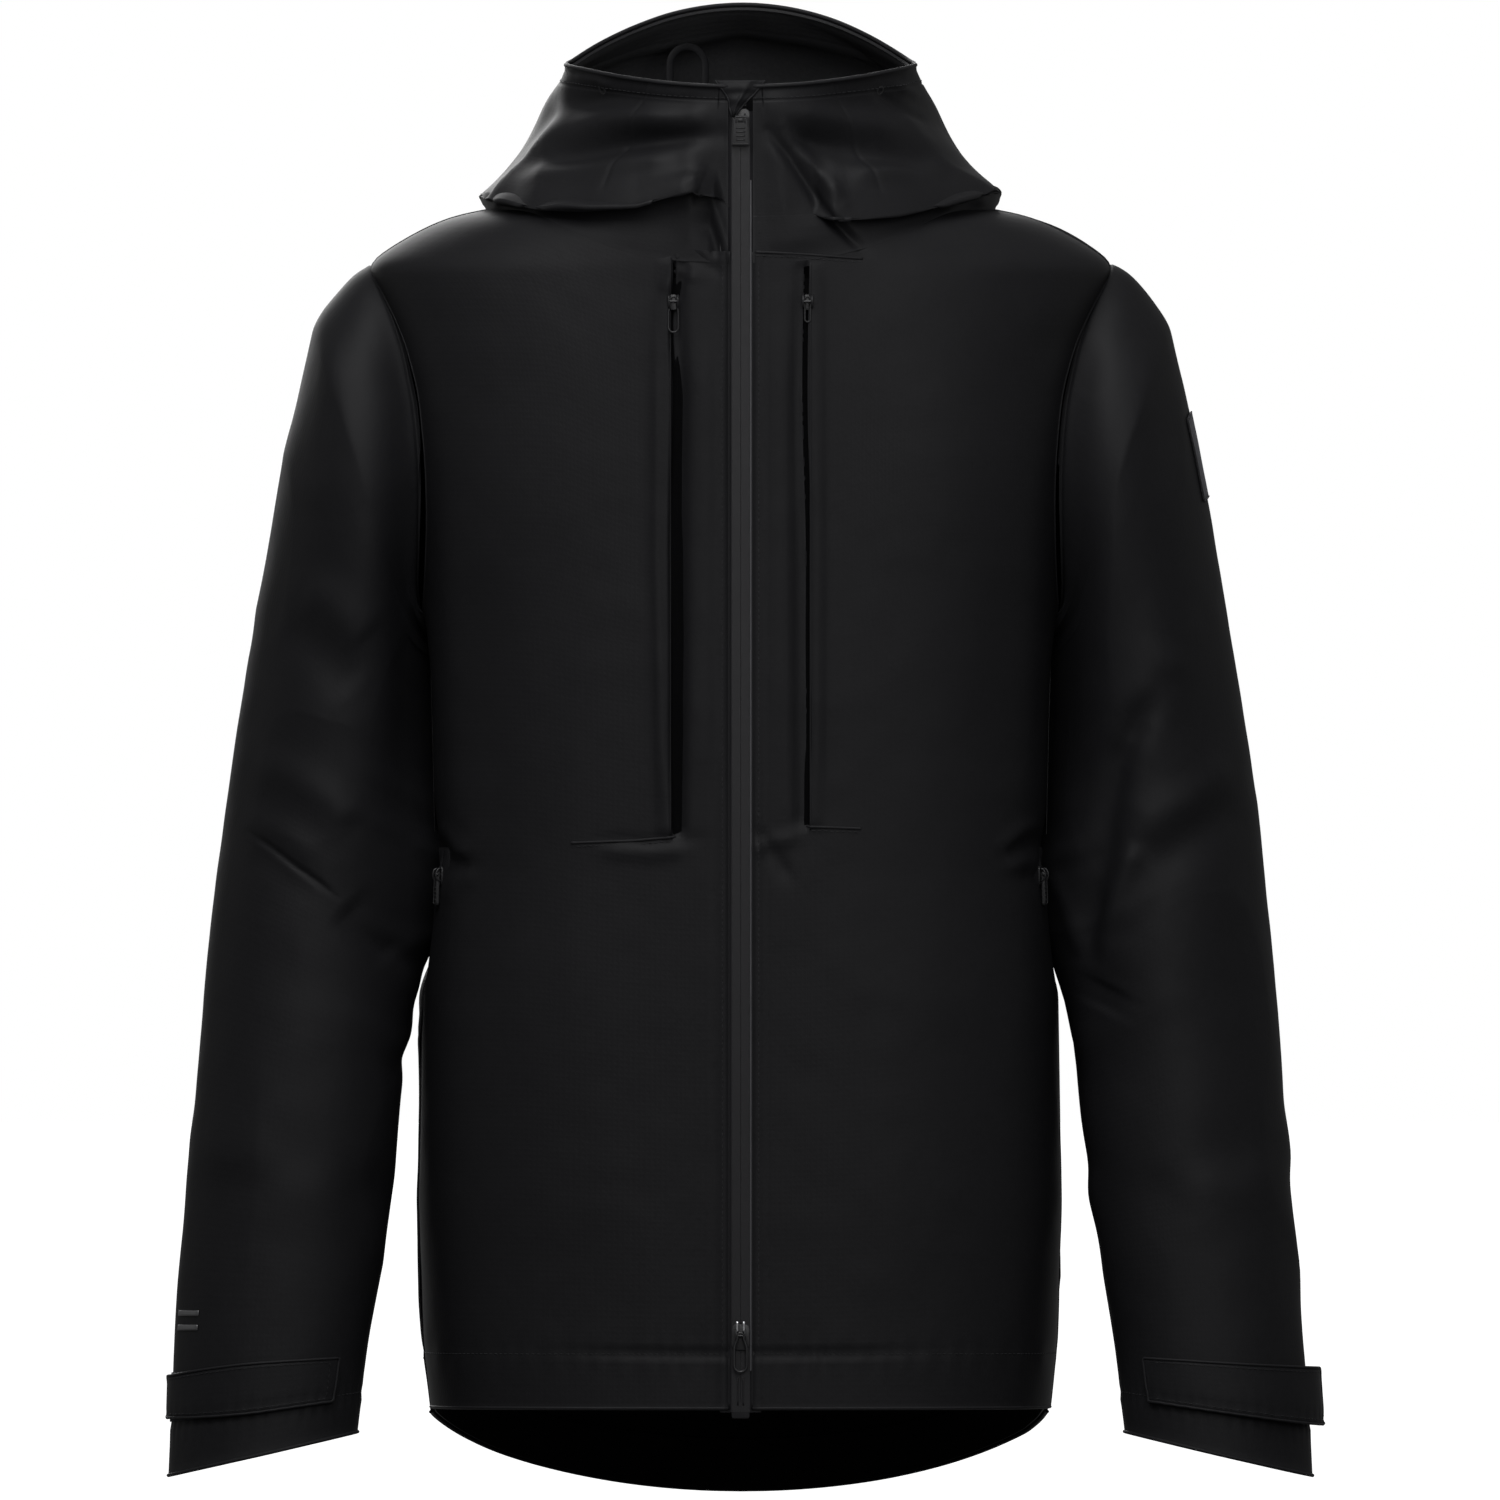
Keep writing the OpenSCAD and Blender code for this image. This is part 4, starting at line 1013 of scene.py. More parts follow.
def main_place(h0):
    """Puts points of the main zip's own frame on the jacket: x across, y inwards, z up the zip from h0."""
    def put(v):
        c, s = math.cos(LEAN), math.sin(LEAN)
        x, y, z = v.T
        return np.stack([x, front_y(h0) + y * c + z * s, h0 - y * s + z * c], 1)
    return put


def chest_place(up, sign=1):
    inner = main_place(382 + up)

    def put(v):
        p = inner(v) + np.array((39, 2.2, 0))
        return p * np.array((sign, 1, 1))
    return put


HAND_TOP_X, HAND_LOW_X = float(body_x(-62.0, 368.0)), float(body_x(-62.0, 142.0))
HAND_LEAN = math.atan((HAND_LOW_X - HAND_TOP_X) / 226)


def hand_place(up, sign=1):
    def put(v):
        x, y, z = v[:, 0], v[:, 1] + 1.0, v[:, 2] + up
        c, s = math.cos(HAND_LEAN), math.sin(HAND_LEAN)
        y, z = y * c + z * s, -y * s + z * c
        c, s = math.cos(math.radians(70)), math.sin(math.radians(70))
        p = np.stack([x * c - y * s + HAND_LOW_X, x * s + y * c - 62, z + 142], 1)
        return p * np.array((sign, 1, 1))
    return put


def zip_strip(name, place, profile, z0, z1, thick, body, mats, wave=0.0):
    """A long strip with the given cross profile of (x, y) points, in the frame of a zip."""
    prof = np.array(profile, float)
    pts = []
    for z in np.arange(z0, z1 + 1e-6, 4.0):
        y = prof[:, 1] + wave * math.sin(z / 31) * np.exp(-((prof[:, 0] / 6) ** 2))
        pts.append(place(np.stack([prof[:, 0], y, np.full(len(prof), z)], 1)))
    return cloth_grid(name, np.array(pts), thick, body, mats)


tape_profile = [(0.08, 0.32), (0.3, 0.3), (0.7, 0.3), (1.6, 0.3), (2.6, 0.3), (3.8, 0.32), (4.6, 0.3),
                (5.2, 0.3), (5.8, 0.5), (6.4, 1.1), (8, 1.3), (12, 1.4)]
for name, sign in SIDES:
    prof = [(x * sign, y) for x, y in tape_profile]
    if sign < 0:
        prof = prof[::-1]
    stands_in(zip_strip("main_zip_tape_" + name, main_place(52), prof, -4, 754, 0.5, "jacket_body",
                        [film, webbing]))

# The cut edge of the tape on the wearer's left: a glossier film whose lighter colour is a painted highlight
# along the edge.
zip_strip("main_zip_edge_highlight", main_place(52), [(5.5, 0.32), (5.7, 0.0), (6.0, -0.15), (6.3, 0.0), (6.5, 0.5)],
          20, 712, 0.3, "jacket_body", [highlight_film, highlight_film])

# The closed coil behind the tapes, one bead for each tooth.
for name, sign in SIDES:
    ang = np.linspace(0, 2 * np.pi, 6, endpoint=False)
    verts, faces = [], []
    for n, z in enumerate(np.arange(0.5, 752, 1.3)):
        for t, r in ((-0.55, 0.35), (0.0, 1.0), (0.55, 0.35)):
            for a in ang:
                x, y = sign * (1.25 + 1.05 * r * math.cos(a)), 3.2 + 0.95 * r * math.sin(a)
                verts.append((x, y, z + t))
        b = n * 18
        for i in (0, 6):
            for j in range(6):
                k = (j + 1) % 6
                faces.append((b + i + j, b + i + k, b + i + 6 + k, b + i + 6 + j))
    stands_in(plain_mesh("main_zip_coil_" + name, main_place(52)(np.array(verts)), faces, zip_plastic,
                         "jacket_body"))

# The storm flap behind the zip.
flap_profile = [(x, 8.6 + 0.6 * math.cos(x / 5)) for x in np.linspace(-17, 17, 13)]
stands_in(zip_strip("storm_flap", main_place(54), flap_profile, 0, 746, 1.0, "jacket_body", [lining_and_painted_shade, lining_and_painted_shade],
                    wave=0.8))


def plate_outline(w, length):
    return [(-w * 0.5, length * 0.25), (-w * 0.42, length * 0.08), (-w * 0.3, 0), (w * 0.3, 0),
            (w * 0.42, length * 0.08), (w * 0.5, length * 0.25), (w * 0.47, length * 0.55),
            (w * 0.5, length * 0.8), (w * 0.42, length * 0.95), (w * 0.28, length), (-w * 0.28, length),
            (-w * 0.42, length * 0.95), (-w * 0.5, length * 0.8), (-w * 0.47, length * 0.55)]


def slider(name, w, length, proud, place, body, finish):
    """Front plate with a bail, a web through the slit and a back plate."""
    plate = plate_outline(w, length)
    web = [(sx * 0.4, length * share) for sx, share in ((-1, 0.35), (1, 0.35), (1, 0.65), (-1, 0.65))]
    bits = [block(name + "_a", plate, -proud, 0.75, finish, 0.35, place),
            block(name + "_b", [(x * 0.86, z) for x, z in plate], 5.2, 6.2, finish, 0.3, place),
            block(name + "_c", web, 0.5, 5.5, finish, 0.1, place)]
    zc = length * 0.55
    arch = []
    for a in np.linspace(0, math.pi, 15):
        arch.append((0, -proud - 0.2 - 3.0 * math.sin(a) ** 0.8, zc + 3.6 * math.cos(a)))
    for sx in (-2.6, 2.6):
        side = np.array([(sx, y, z) for _, y, z in arch])
        bits.append(tube(name + "_d", place(side), 0.55, finish, up=(1, 0, 0)))
    bar = np.array([(x, -proud - 2.4, zc) for x in np.linspace(-3.1, 3.1, 5)])
    bits.append(tube(name + "_e", place(bar), 0.75, finish, 10, up=(0, 0, 1)))
    stands_in(joined(name, bits, body))


def ring_pull(name, w, length, bar_y, zc, place, body, finish, wire):
    """A wire loop that hangs from the bail's bar."""
    path = []
    r_top, r_low = 1.7, w / 2
    for a in np.linspace(0, math.pi, 9):
        path.append((r_top * math.cos(a), 0, r_top * math.sin(a)))
    low = -(length - r_low)
    for z in np.linspace(-2, low, 10):
        path.append((-(r_top + (r_low - r_top) * smooth(np.array(-z / 8))), 0, z))
    for a in np.linspace(math.pi, 2 * math.pi, 13)[1:-1]:
        path.append((r_low * math.cos(a), 0, low + r_low * math.sin(a)))
    for z in np.linspace(low, -2, 10):
        path.append(((r_top + (r_low - r_top) * smooth(np.array(-z / 8))), 0, z))
    path = np.array([(float(x), float(y) + bar_y, float(z) + zc) for x, y, z in path])
    stands_in(tube(name, place(path), wire, finish, 10, closed=True, body=body))


def tab_pull(name, w, tip, length, above, bar_y, zc, place, body, finish):
    """A moulded tab with a raised rim and three grip ridges, over the bail's bar."""
    outline = rounded(tip, -length, above, 1.6, taper=tip - w)
    bits = [block(name + "_a", outline, -0.95, 0.75, finish, 0.4, lambda v: place(v + (0, bar_y, zc)))]
    mid = (above - length) / 2
    rim = [(x * 0.86, -1.05, (z - mid) * 0.9 + mid) for x, z in outline]
    bits.append(tube(name + "_b", place(np.array(rim) + (0, bar_y, zc)), 0.35, finish, 6, closed=True))
    for k in range(4):
        z = -length + 3.4 + k * 2.3
        bar = np.array([(x, -1.0, z) for x in np.linspace(-w * 0.27, w * 0.27, 5)])
        bits.append(tube(name + "_c", place(bar + (0, bar_y, zc)), 0.42, finish, 6))
    eye = np.array([(x, 0, 0) for x in np.linspace(-1.7, 1.7, 5)])
    bits.append(tube(name + "_d", place(eye + (0, bar_y, zc)), 1.7, finish, 12, up=(0, 0, 1)))
    stands_in(joined(name, bits, body))


TOP_SLIDER_H, LOW_SLIDER_H = 790, 84
slider("main_top_slider", 11, 15, 1.0, main_place(TOP_SLIDER_H), "top_slider", dark_metal)
slider("main_bottom_slider", 11, 15, 1.0, main_place(LOW_SLIDER_H), "bottom_slider", dark_metal)
# The two bright ends of the bottom slider's bail.
prong = np.array([(1.9, -2.2 - 0.12 * z, 10.5 + z) for z in np.linspace(0, 6, 7)])
joined("bottom_slider_prongs", [
    tube("prong", main_place(LOW_SLIDER_H)(prong * (sx, 1, 1)), 0.8, steel, 10, up=(1, 0, 0))
    for sx in (-1, 1)], "bottom_slider")
tab_pull("main_top_pull", 9.8, 11.4, 14.8, 2.6, -3.4, 8.25, main_place(TOP_SLIDER_H), "top_pull", rubber)
ring_pull("main_bottom_pull", 7.4, 21, -3.4, 8.25, main_place(LOW_SLIDER_H), "bottom_pull", dark_metal, 0.8)


def strip_grid(place, profile, zs):
    """A strip of the given cross profile at each of the heights zs, in the frame of a zip."""
    return np.array([place(np.array([(x, y, z) for x, y in profile])) for z in zs])


# Chest and hand zips: a strip in the slit (near-black painted shade in the chest slits, shell cloth in the
# hand slits), a painted slider, a wire loop on each chest zip and a moulded tab on each hand zip.
for name, sign in SIDES:
    # The chest strip's outer face is near-black painted shade, seen through the slit over the pocket's dark
    # inside.
    strip = [(-6, 1.0), (-3, 0.9), (-1.2, 0.8), (0, 1.2), (1.2, 0.8), (3, 0.9), (6, 1.0)]
    pts = strip_grid(chest_place(0, sign), strip, np.arange(0, 330, 5.0))[:, ::sign]
    stands_in(cloth_grid("chest_zip_" + name, pts, 0.6, "jacket_body", [painted_slit_shade, webbing]))
    # The wearer's left pull is small and dull, as its zip shows no slider in the photo.
    proud, wide, long, finish = (2.0, 3.2, 13, rubber) if sign > 0 else (2.6, 5.6, 19, dark_metal)
    low = chest_place(306, sign)
    slider("chest_slider_" + name, 4.4, 9, proud, low, "chest_slide_" + name, dark_metal)
    ring_pull("chest_pull_" + name, wide, long, -3.0, 6.05, low, "chest_tag_" + name, finish, 0.55)

    place = hand_place(0, sign)
    strip = [(-8.5, 1.4), (-5, 0.2), (-3.4, -0.6), (-2.2, -0.9), (-1.0, -0.55), (-0.45, 0.2), (0, 1.2)]
    strip = np.array(strip + [(-x, y) for x, y in strip[-2::-1]])
    pts = []
    for z in np.arange(-6, 236, 4.0):
        squeeze = float(smooth(min(z + 6, 232 - z) / 8))
        pts.append(strip_grid(place, strip * (1, squeeze) + (0, (1 - squeeze) * 0.6), [z])[0])
    pts = np.array(pts)[:, ::sign]
    stands_in(cloth_grid("hand_zip_" + name, pts, 0.8, "jacket_body", [shell, webbing]))
    low = hand_place(212, sign)
    slider("hand_slider_" + name, 6.4, 11, 1.6, low, "hand_slide_" + name, dark_metal)
    tab_pull("hand_pull_" + name, 4.6, 5.4, 18, 2.2, -3.0, 6.05, low, "hand_tag_" + name, rubber)

# Pocket bags and the chest flaps' lips.
for name, sign, grid in (("left", 1, left_grid), ("right", -1, right_grid)):
    for part, x0, x1, h0, h1, depth in (("chest_pocket_bag_", 25, 150, 392, 676, 9.6),
                                        ("hand_pocket_bag_", 62, 158, 118, 352, 10.2)):
        xs, hs = np.linspace(x0, x1, 28), np.linspace(h0, h1, 46)
        hh, xx = np.meshgrid(hs, xs, indexing="ij")
        pts = body_point(angle_at_x(xx, hh), hh, -1)
        nrm = grid_normals(pts)
        round_off = (1 - window(hh, h0, h1, 9) * window(xx, x0, x1, 9)) * -1.2
        pts = pts - nrm * (depth + 0.6 * noise(pts, 40, 2.0 + sign) + round_off)[..., None]
        if sign < 0:
            pts = (pts * mirror_x)[:, ::-1]
        stands_in(cloth_grid(part + name, pts, 0.9, "jacket_body", [lining_and_painted_shade, lining_and_painted_shade]))
    lip_x, low, high = (40.7, 386, 717) if sign > 0 else (-40.9, 381, 720)
    line = upright(grid, lip_x)
    line = thin(line[(line[:, 2] > low) & (line[:, 2] < high)], 4)
    stands_in(tube("chest_flap_" + name, line + (0, 0.25, 0), 0.6, shell, body="jacket_body"))

# Stops above the coil, and the box and pin end at the hem.
stop_place, box_place = main_place(806.5), main_place(46)
stands_in(joined("main_zip_stops", [
    block("stop", rounded(2.4, 0, 3, 0.4), 1.6, 4.2, dark_metal, 0.3,
          lambda v, sx=sx: stop_place(v + (sx * 2.2, 0.4, 0))) for sx in (-1, 1)], "jacket_body"))
stands_in(joined("main_zip_box", [
    block("box_a", rounded(8.6, 0, 6.4, 1.0), 1.4, 5.8, dark_metal, 0.5, box_place),
    block("box_b", rounded(10.4, -1.5, 7.5, 1.2), 0.5, 1.5, film, 0.35, box_place),
    tube("box_c", box_place(np.array([(-1.6, 0.7, z) for z in np.linspace(6, 22, 9)])), 0.7, film),
    tube("box_d", box_place(np.array([(1.6, 0.7, z) for z in np.linspace(6, 22, 9)])), 0.7, film),
], "jacket_body"))


# ---- Hood and collar ----
# For each ring: number, half width, front y, back y, height in front, at the sides and behind, squareness.
HOOD_ROWS = (
    (1, 151, float(front_y(742)), 138, 742, 755, 745, 2.3),
    (2, 136, float(front_y(765)), 150, 765, 773, 778, 2.2),
    (3, 121, float(front_y(785)) - 0.4, 147, 785, 793, 814, 2.1),
    (4, 109, float(front_y(804)) - 0.7, 122, 804, 813, 846, 2),
    (5, 101, float(front_y(818)) - 1.1, 58, 818, 831, 867, 2),
)
HOOD_SPREAD = [spread(HOOD_ROWS, 0.02, 0.22, k) for k in range(1, 8)]
# Height of the lower fold's edge across the front, which sits higher on the right than on the left.
FOLD_X = (-160, -150, -120, -90, -60, -40, -28, -18, -10, 0, 10, 30, 50, 70, 92, 120, 148, 160)
FOLD_H = (758, 757, 751, 750, 752, 758, 761, 753, 744, 742, 742.5, 743, 744, 744.5, 747, 753, 761, 762)


def hood_ring(t, v):
    w, fy, by, fh, sh, bh, n = (np.interp(v, *k) for k in HOOD_SPREAD)
    p = 2 / n
    c = np.cos(t)
    x = w * np.sign(np.sin(t)) * np.abs(np.sin(t)) ** p
    y = (fy + by) / 2 - np.sign(c) * (by - fy) / 2 * np.abs(c) ** p
    end = np.where(c > 0, fh, bh)
    h = sh + (end - sh) * c**2
    return np.stack([x, y, h], -1)


def neck_seam(t):
    f = np.abs(np.pi / 2 - np.where(t > np.pi, 2 * np.pi - t, t))
    front = body_point(f, 747 - 32 * np.sin(f) ** 6, -1, -0.35)
    back = body_point(f, 747 + 0 * f, 1, -0.35)
    p = np.where((np.cos(t) > 0)[..., None], front, back)
    return p * np.stack([np.where(t > np.pi, -1, 1), np.ones_like(t), np.ones_like(t)], -1)


def hood_shape(t, v):
    """The hood without its folds: t goes from the front round by the left, v from neck seam to rim."""
    up = hood_ring(t, np.maximum(v, 1))
    low = neck_seam(t)
    s = np.clip(v / 0.8, 0, 1)[..., None]
    fold_at = up[..., 0]
    front = smooth((np.cos(t) + 0.15) / 0.4)
    # The lower fold hangs over the neck seam: its edge stands forwards of the cloth below it.
    away = np.where(fold_at < 0, smooth((-fold_at - 15) / 13), smooth((fold_at - 42) / 13))
    front_h, side_h = HOOD_ROWS[0][4:6]
    ring_h = side_h + (front_h - side_h) * np.clip(np.cos(t), 0, 1) ** 2
    dip = (np.interp(fold_at, FOLD_X, FOLD_H) - ring_h) * front
    dip = dip * np.exp(-(((np.maximum(v, 1) - 1) / 0.8) ** 2))
    up = up + np.stack([0 * t, 0 * t, dip], -1)
    p = np.where(s < 1, low + (up - low) * s, up)
    reach = np.where(v < 1, smooth((v - 0.8) / 0.2), np.exp(-(((v - 1) / 1.05) ** 2)))
    out = 13.0 * reach * away * front
    near = np.where(v < 1, smooth((v - 0.84) / 0.16), np.exp(-(((v - 1) / 0.5) ** 2)))
    hang = -4.0 * away * front * near
    p = p + np.stack([0 * t, -out, hang], -1)
    # Behind, the hood is full and hangs in soft folds.
    behind = smooth((-np.cos(t) - 0.1) / 0.5)
    sag = behind * np.exp(-(((v - 1.2) / 1.0) ** 2))
    return p + np.stack([0 * t, 5 * sag, -4 * sag * (1 - np.exp(-((p[..., 0] / 60) ** 2)))], -1)


def steps_between(stops, counts):
    """Evenly spaced values from each stop to the next, so many to each stretch."""
    parts = [np.linspace(a, b, n)[:-1] for a, b, n in zip(stops, stops[1:], counts)]
    return np.concatenate(parts + [stops[-1:]])


hood_v = steps_between((0, 0.78, 1.1, 2, 5), (18, 26, 28, 62))
first = np.arcsin(SLOT / 121.0)
hood_t = steps_between((first, 0.62, 2 * np.pi - 0.62, 2 * np.pi - first), (74, 160, 74))
tt, vv = np.meshgrid(hood_t, hood_v)
hood_base = hood_shape(tt, vv)
# The two edges beside the zip stay straight.
for side, edge, sign in ((slice(0, 8), 0, 1), (slice(-8, None), -1, -1)):
    off = np.abs(hood_base[:, side, 0]) - np.abs(hood_base[:, edge, 0])[:, None]
    hood_base[:, side, 0] = sign * (SLOT + np.maximum(0, off))


def hood_seam(v):
    return np.radians(np.where(v < 1, 146 - 7 * v, 139 - 43 * (v - 1) / 4))


def hood_details(t, v):
    """The rim's hem, the seams, the collar's end and the soft waves behind."""
    rim = 0.9 * np.exp(-(((v - 4.96) / 0.08) ** 2)) - 0.7 * np.exp(-(((v - 4.42) / 0.03) ** 2))
    folded = np.where(t > np.pi, 2 * np.pi - t, t)
    off = (folded - hood_seam(v)) * 110
    seam = -0.9 * np.exp(-((off / 1.6) ** 2)) + 0.5 * np.exp(-(((off - 6) / 5) ** 2))
    end = (folded - np.radians(32)) * 120
    collar = -0.5 * np.exp(-((end / 1.5) ** 2)) * smooth((v - 1.4) / 0.4)
    waves = 2.2 * np.sin(5 * folded + 1.3 * v) * smooth((folded - 0.9) / 0.6)
    waves = waves * smooth((4.6 - v) / 1.2) * smooth((v - 0.6) / 0.8)
    return rim + seam + collar + waves


hood_keep = smooth(vv / 0.4) * (0.3 + 0.7 * smooth((5 - vv) / 0.7))
hood_keep = hood_keep * np.where(np.cos(tt) < 0, 1, smooth((np.abs(hood_base[..., 0]) - 9) / 18))
hood_grid = settle(hood_base, HOOD_STROKES, extra=hood_details(tt, vv), big=1.6, mid=1.0, small=0.15,
                   seed=12.0, keep=hood_keep)


def with_hood(piece):
    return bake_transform(piece)


hood_cloth = cloth_grid("hood", hood_grid, 0.15 + 1.05 * smooth((vv - 0.1) / 0.4), None,
                        [shell, hood_lining])
with_hood(hood_cloth)
# The paler lining is only in the upper hood; the folds below are the shell on both sides.
lining_from = float(row((0, 0, 802))[2])
for poly in hood_cloth.data.polygons:
    if poly.material_index == 1 and poly.center.z < lining_from:
        poly.material_index = 0
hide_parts("collar_front_left", "collar_front_right", "hood_side_left", "hood_side_right",
            "hood_centre")

hood_normals = grid_normals(hood_grid)


def hood_part(low_v, high_v, t0, t1, depth):
    """The points a little inside the hood, between two rings and two angles."""
    rows = np.where((hood_v >= low_v) & (hood_v <= high_v))[0]
    cols = np.where((hood_t >= t0) & (hood_t <= t1))[0]
    return (hood_grid - hood_normals * depth)[np.ix_(rows, cols)]


FULL, BRIM_END = 2 * np.pi, 1.75
for name, low_v, t0, t1, depth, thick in (("hood_brim", 4.3, BRIM_END, FULL - BRIM_END, 1.7, 1.6),
                                          ("rim_facing", 4.42, 0.0, BRIM_END, 1.5, 0.8),
                                          ("rim_facing_right", 4.42, FULL - BRIM_END, FULL, 1.5, 0.8)):
    piece = cloth_grid(name, hood_part(low_v, 5, t0, t1, depth), thick, None, [shell, hood_lining])
    with_hood(piece)
    if name == "hood_brim":
        stands_in(piece)
guard = join("chin_guard", [cloth_grid("guard", hood_part(3.0, 4.4, t0, t1, 2.6), 0.8, None, [lining_and_painted_shade, lining_and_painted_shade])
                            for t0, t1 in ((0.09, 0.52), (FULL - 0.52, FULL - 0.09))])
with_hood(guard)
stands_in(guard)

rim_line = thin(hood_grid[-1], 3.5)
bits = [tube("rim_roll", rim_line + (0, 0.2, 0), 1.25, shell, up=(0, 0, 1))]
rim_stitches = thin(hood_grid[int(np.argmin(np.abs(hood_v - 4.5)))], 3)
bits.append(stitches("rim_stitch", rim_stitches, outward(rim_stitches)))
for sign in (1, -1):
    line, line_n = [], []
    for i, v in enumerate(hood_v):
        t = float(hood_seam(np.array(v)))
        t = t if sign > 0 else 2 * np.pi - t
        line.append([np.interp(t, hood_t, hood_grid[i, :, k]) for k in range(3)])
        line_n.append([np.interp(t + 0.03 * sign, hood_t, hood_normals[i, :, k]) for k in range(3)])
    line, line_n = np.array(line), unit(np.array(line_n))
    bits.append(tube("seam", line - line_n * 0.2, 0.8, shell))
    beside = line + np.array((-sign * 2.6, 1.2, 0)) + line_n * 0.15
    bits.append(stitches("seam_stitch", thin(beside, 3), line_n[len(line_n) // 2], radius=0.22))
with_hood(join("hood_rim_and_seams", bits))

# The folded garage over the zip's top end.
garage_place = main_place(812)
fold = []
for z in np.linspace(-12, 9.5, 22):
    half_l = np.interp(z, (-12, -2, 3, 9.5), (0.5, 5.6, 9.5, 14.5))
    line = []
    for u in np.linspace(-1, 1, 17):
        x = u * half_l - 0.3 - 3.5 * smooth((3 - z) / 14)
        y = -3.6 + 1.8 * u**2 + 0.5 * math.sin(z * 0.8) - math.exp(-((u - 0.15 - 0.03 * z) / 0.16) ** 2)
        y += 2.4 * smooth((z - 3) / 5.5) * (0.25 + 0.75 * abs(u)) - 0.9 * smooth((-z - 2) / 8)
        line.append((x, y, z))
    fold.append(garage_place(np.array(line)))
fold = np.array(fold)
fold_edge = thin(np.concatenate([fold[::-1, 0], fold[:, -1]]), 1.2) + (0, 0.2, 0)
stands_in(joined("zip_garage", [cloth_grid("fold", fold, 0.9, None),
                                tube("fold_edge", fold_edge, 0.65, shell)], "jacket_body"))

# Eyelets for the adjusting cords.
rings = []
ang = np.linspace(0, 2 * np.pi, 28, endpoint=False)
for sx in (-1, 1):
    k = int(np.argmin(np.linalg.norm(hood_grid.reshape(-1, 3) - np.array((sx * 78, -72, 817)), axis=1)))
    nrm = hood_normals.reshape(-1, 3)[k]
    centre = hood_grid.reshape(-1, 3)[k] + nrm * 0.4
    ax = unit(np.cross(nrm, (0, 0, 1.0)))
    ay = np.cross(ax, nrm)
    ring = centre + (ax[None] * np.cos(ang)[:, None] + ay[None] * np.sin(ang)[:, None]) * 2.4
    rings.append(tube("ring", ring, 0.65, rubber, closed=True, flat=0.6, up=nrm))
eyelets = join("hood_eyelets", rings)
with_hood(eyelets)
stands_in(eyelets)

# The collar inside the hood, its binding, the hang loop and the blank label.
hs = np.linspace(757, 814, 22)
angs = np.radians(np.linspace(-8, 188, 90))
hh, aa = np.meshgrid(hs, angs, indexing="ij")
collar = np.stack([90 * np.cos(aa), -10 + 88 * np.sin(aa) + (hh - 754) * 0.04, hh], -1)
lumps = 1.4 * noise(collar, 48, 5.0) + 0.5 * noise(collar, 20, 2.0)
collar = collar + grid_normals(collar) * lumps[..., None]
stands_in(joined("inner_collar", [
    cloth_grid("collar", collar, 1.6, None, [lining_and_painted_shade, lining_and_painted_shade]),
    tube("binding", thin(collar[-1], 3), 1.3, webbing, up=(0, 0, 1)),
], "jacket_body"))


turn, r = math.radians(20), 11.0
loop_path = [(r, z) for z in np.linspace(-24, 0, 14)[:-1]]
loop_path += [(r * math.cos(a), r * math.sin(a)) for a in np.linspace(0, math.pi, 25)]
loop_path += [(-r, z) for z in np.linspace(0, -24, 14)[1:]]
loop3d = np.array([(-31 + x * math.cos(turn), 70.5 + x * math.sin(turn), 832 + z) for x, z in loop_path])
stands_in(tube("hang_loop", thin(loop3d, 1.2), 2.3, shell, 14, flat=0.34,
               up=(math.sin(turn), -math.cos(turn), 0), body="jacket_body"))
label_pts = []
c, s = math.cos(math.radians(4)), math.sin(math.radians(4))
for z in np.linspace(0, 26, 12):
    label_pts.append([(x, back_y(748) - 11 - z * s + 0.4 * math.sin(x / 9), 734 + z * c)
                      for x in np.linspace(-22, 22, 18)])
stands_in(cloth_grid("neck_label", np.array(label_pts), 0.7, "jacket_body", [webbing, webbing]))

# ---- Sleeves ----
# For each ring down the sleeve: its share of the length, outer x and height, inner x and height, y and depth.
SLEEVE_ROWS = (
    (0, 216, 713, 187, 500, 5, 78), (0.06, 236, 702, 187.4, 498, 5, 79),
    (0.12, 247.4, 681, 187.5, 494, 6, 80), (0.2, 256, 645, 187.5, 486, 7, 80),
    (0.28, 264, 611, 187.5, 475, 8, 79), (0.36, 271.5, 572, 187.5, 460, 9, 77),
    (0.44, 278.5, 528, 187.5, 440, 9, 75), (0.52, 286, 482, 187.5, 410, 8, 72),
    (0.6, 293, 437, 187.5, 372, 5, 69), (0.68, 299.5, 388, 188, 330, 1, 66),
    (0.75, 305, 345, 190.5, 292, -5, 63), (0.82, 311, 292, 194.5, 250, -12, 58),
    (0.88, 317, 226, 201, 200, -22, 53), (0.94, 324, 142, 210.5, 130, -33, 48),
    (0.97, 328, 78, 218, 84, -40, 45),
    (1, 330.8, 10.4, 223.5, 36, -48, 42),
)
SLEEVE_SPREAD = [spread(SLEEVE_ROWS, 0.001, 0.010, k) for k in range(1, 7)]


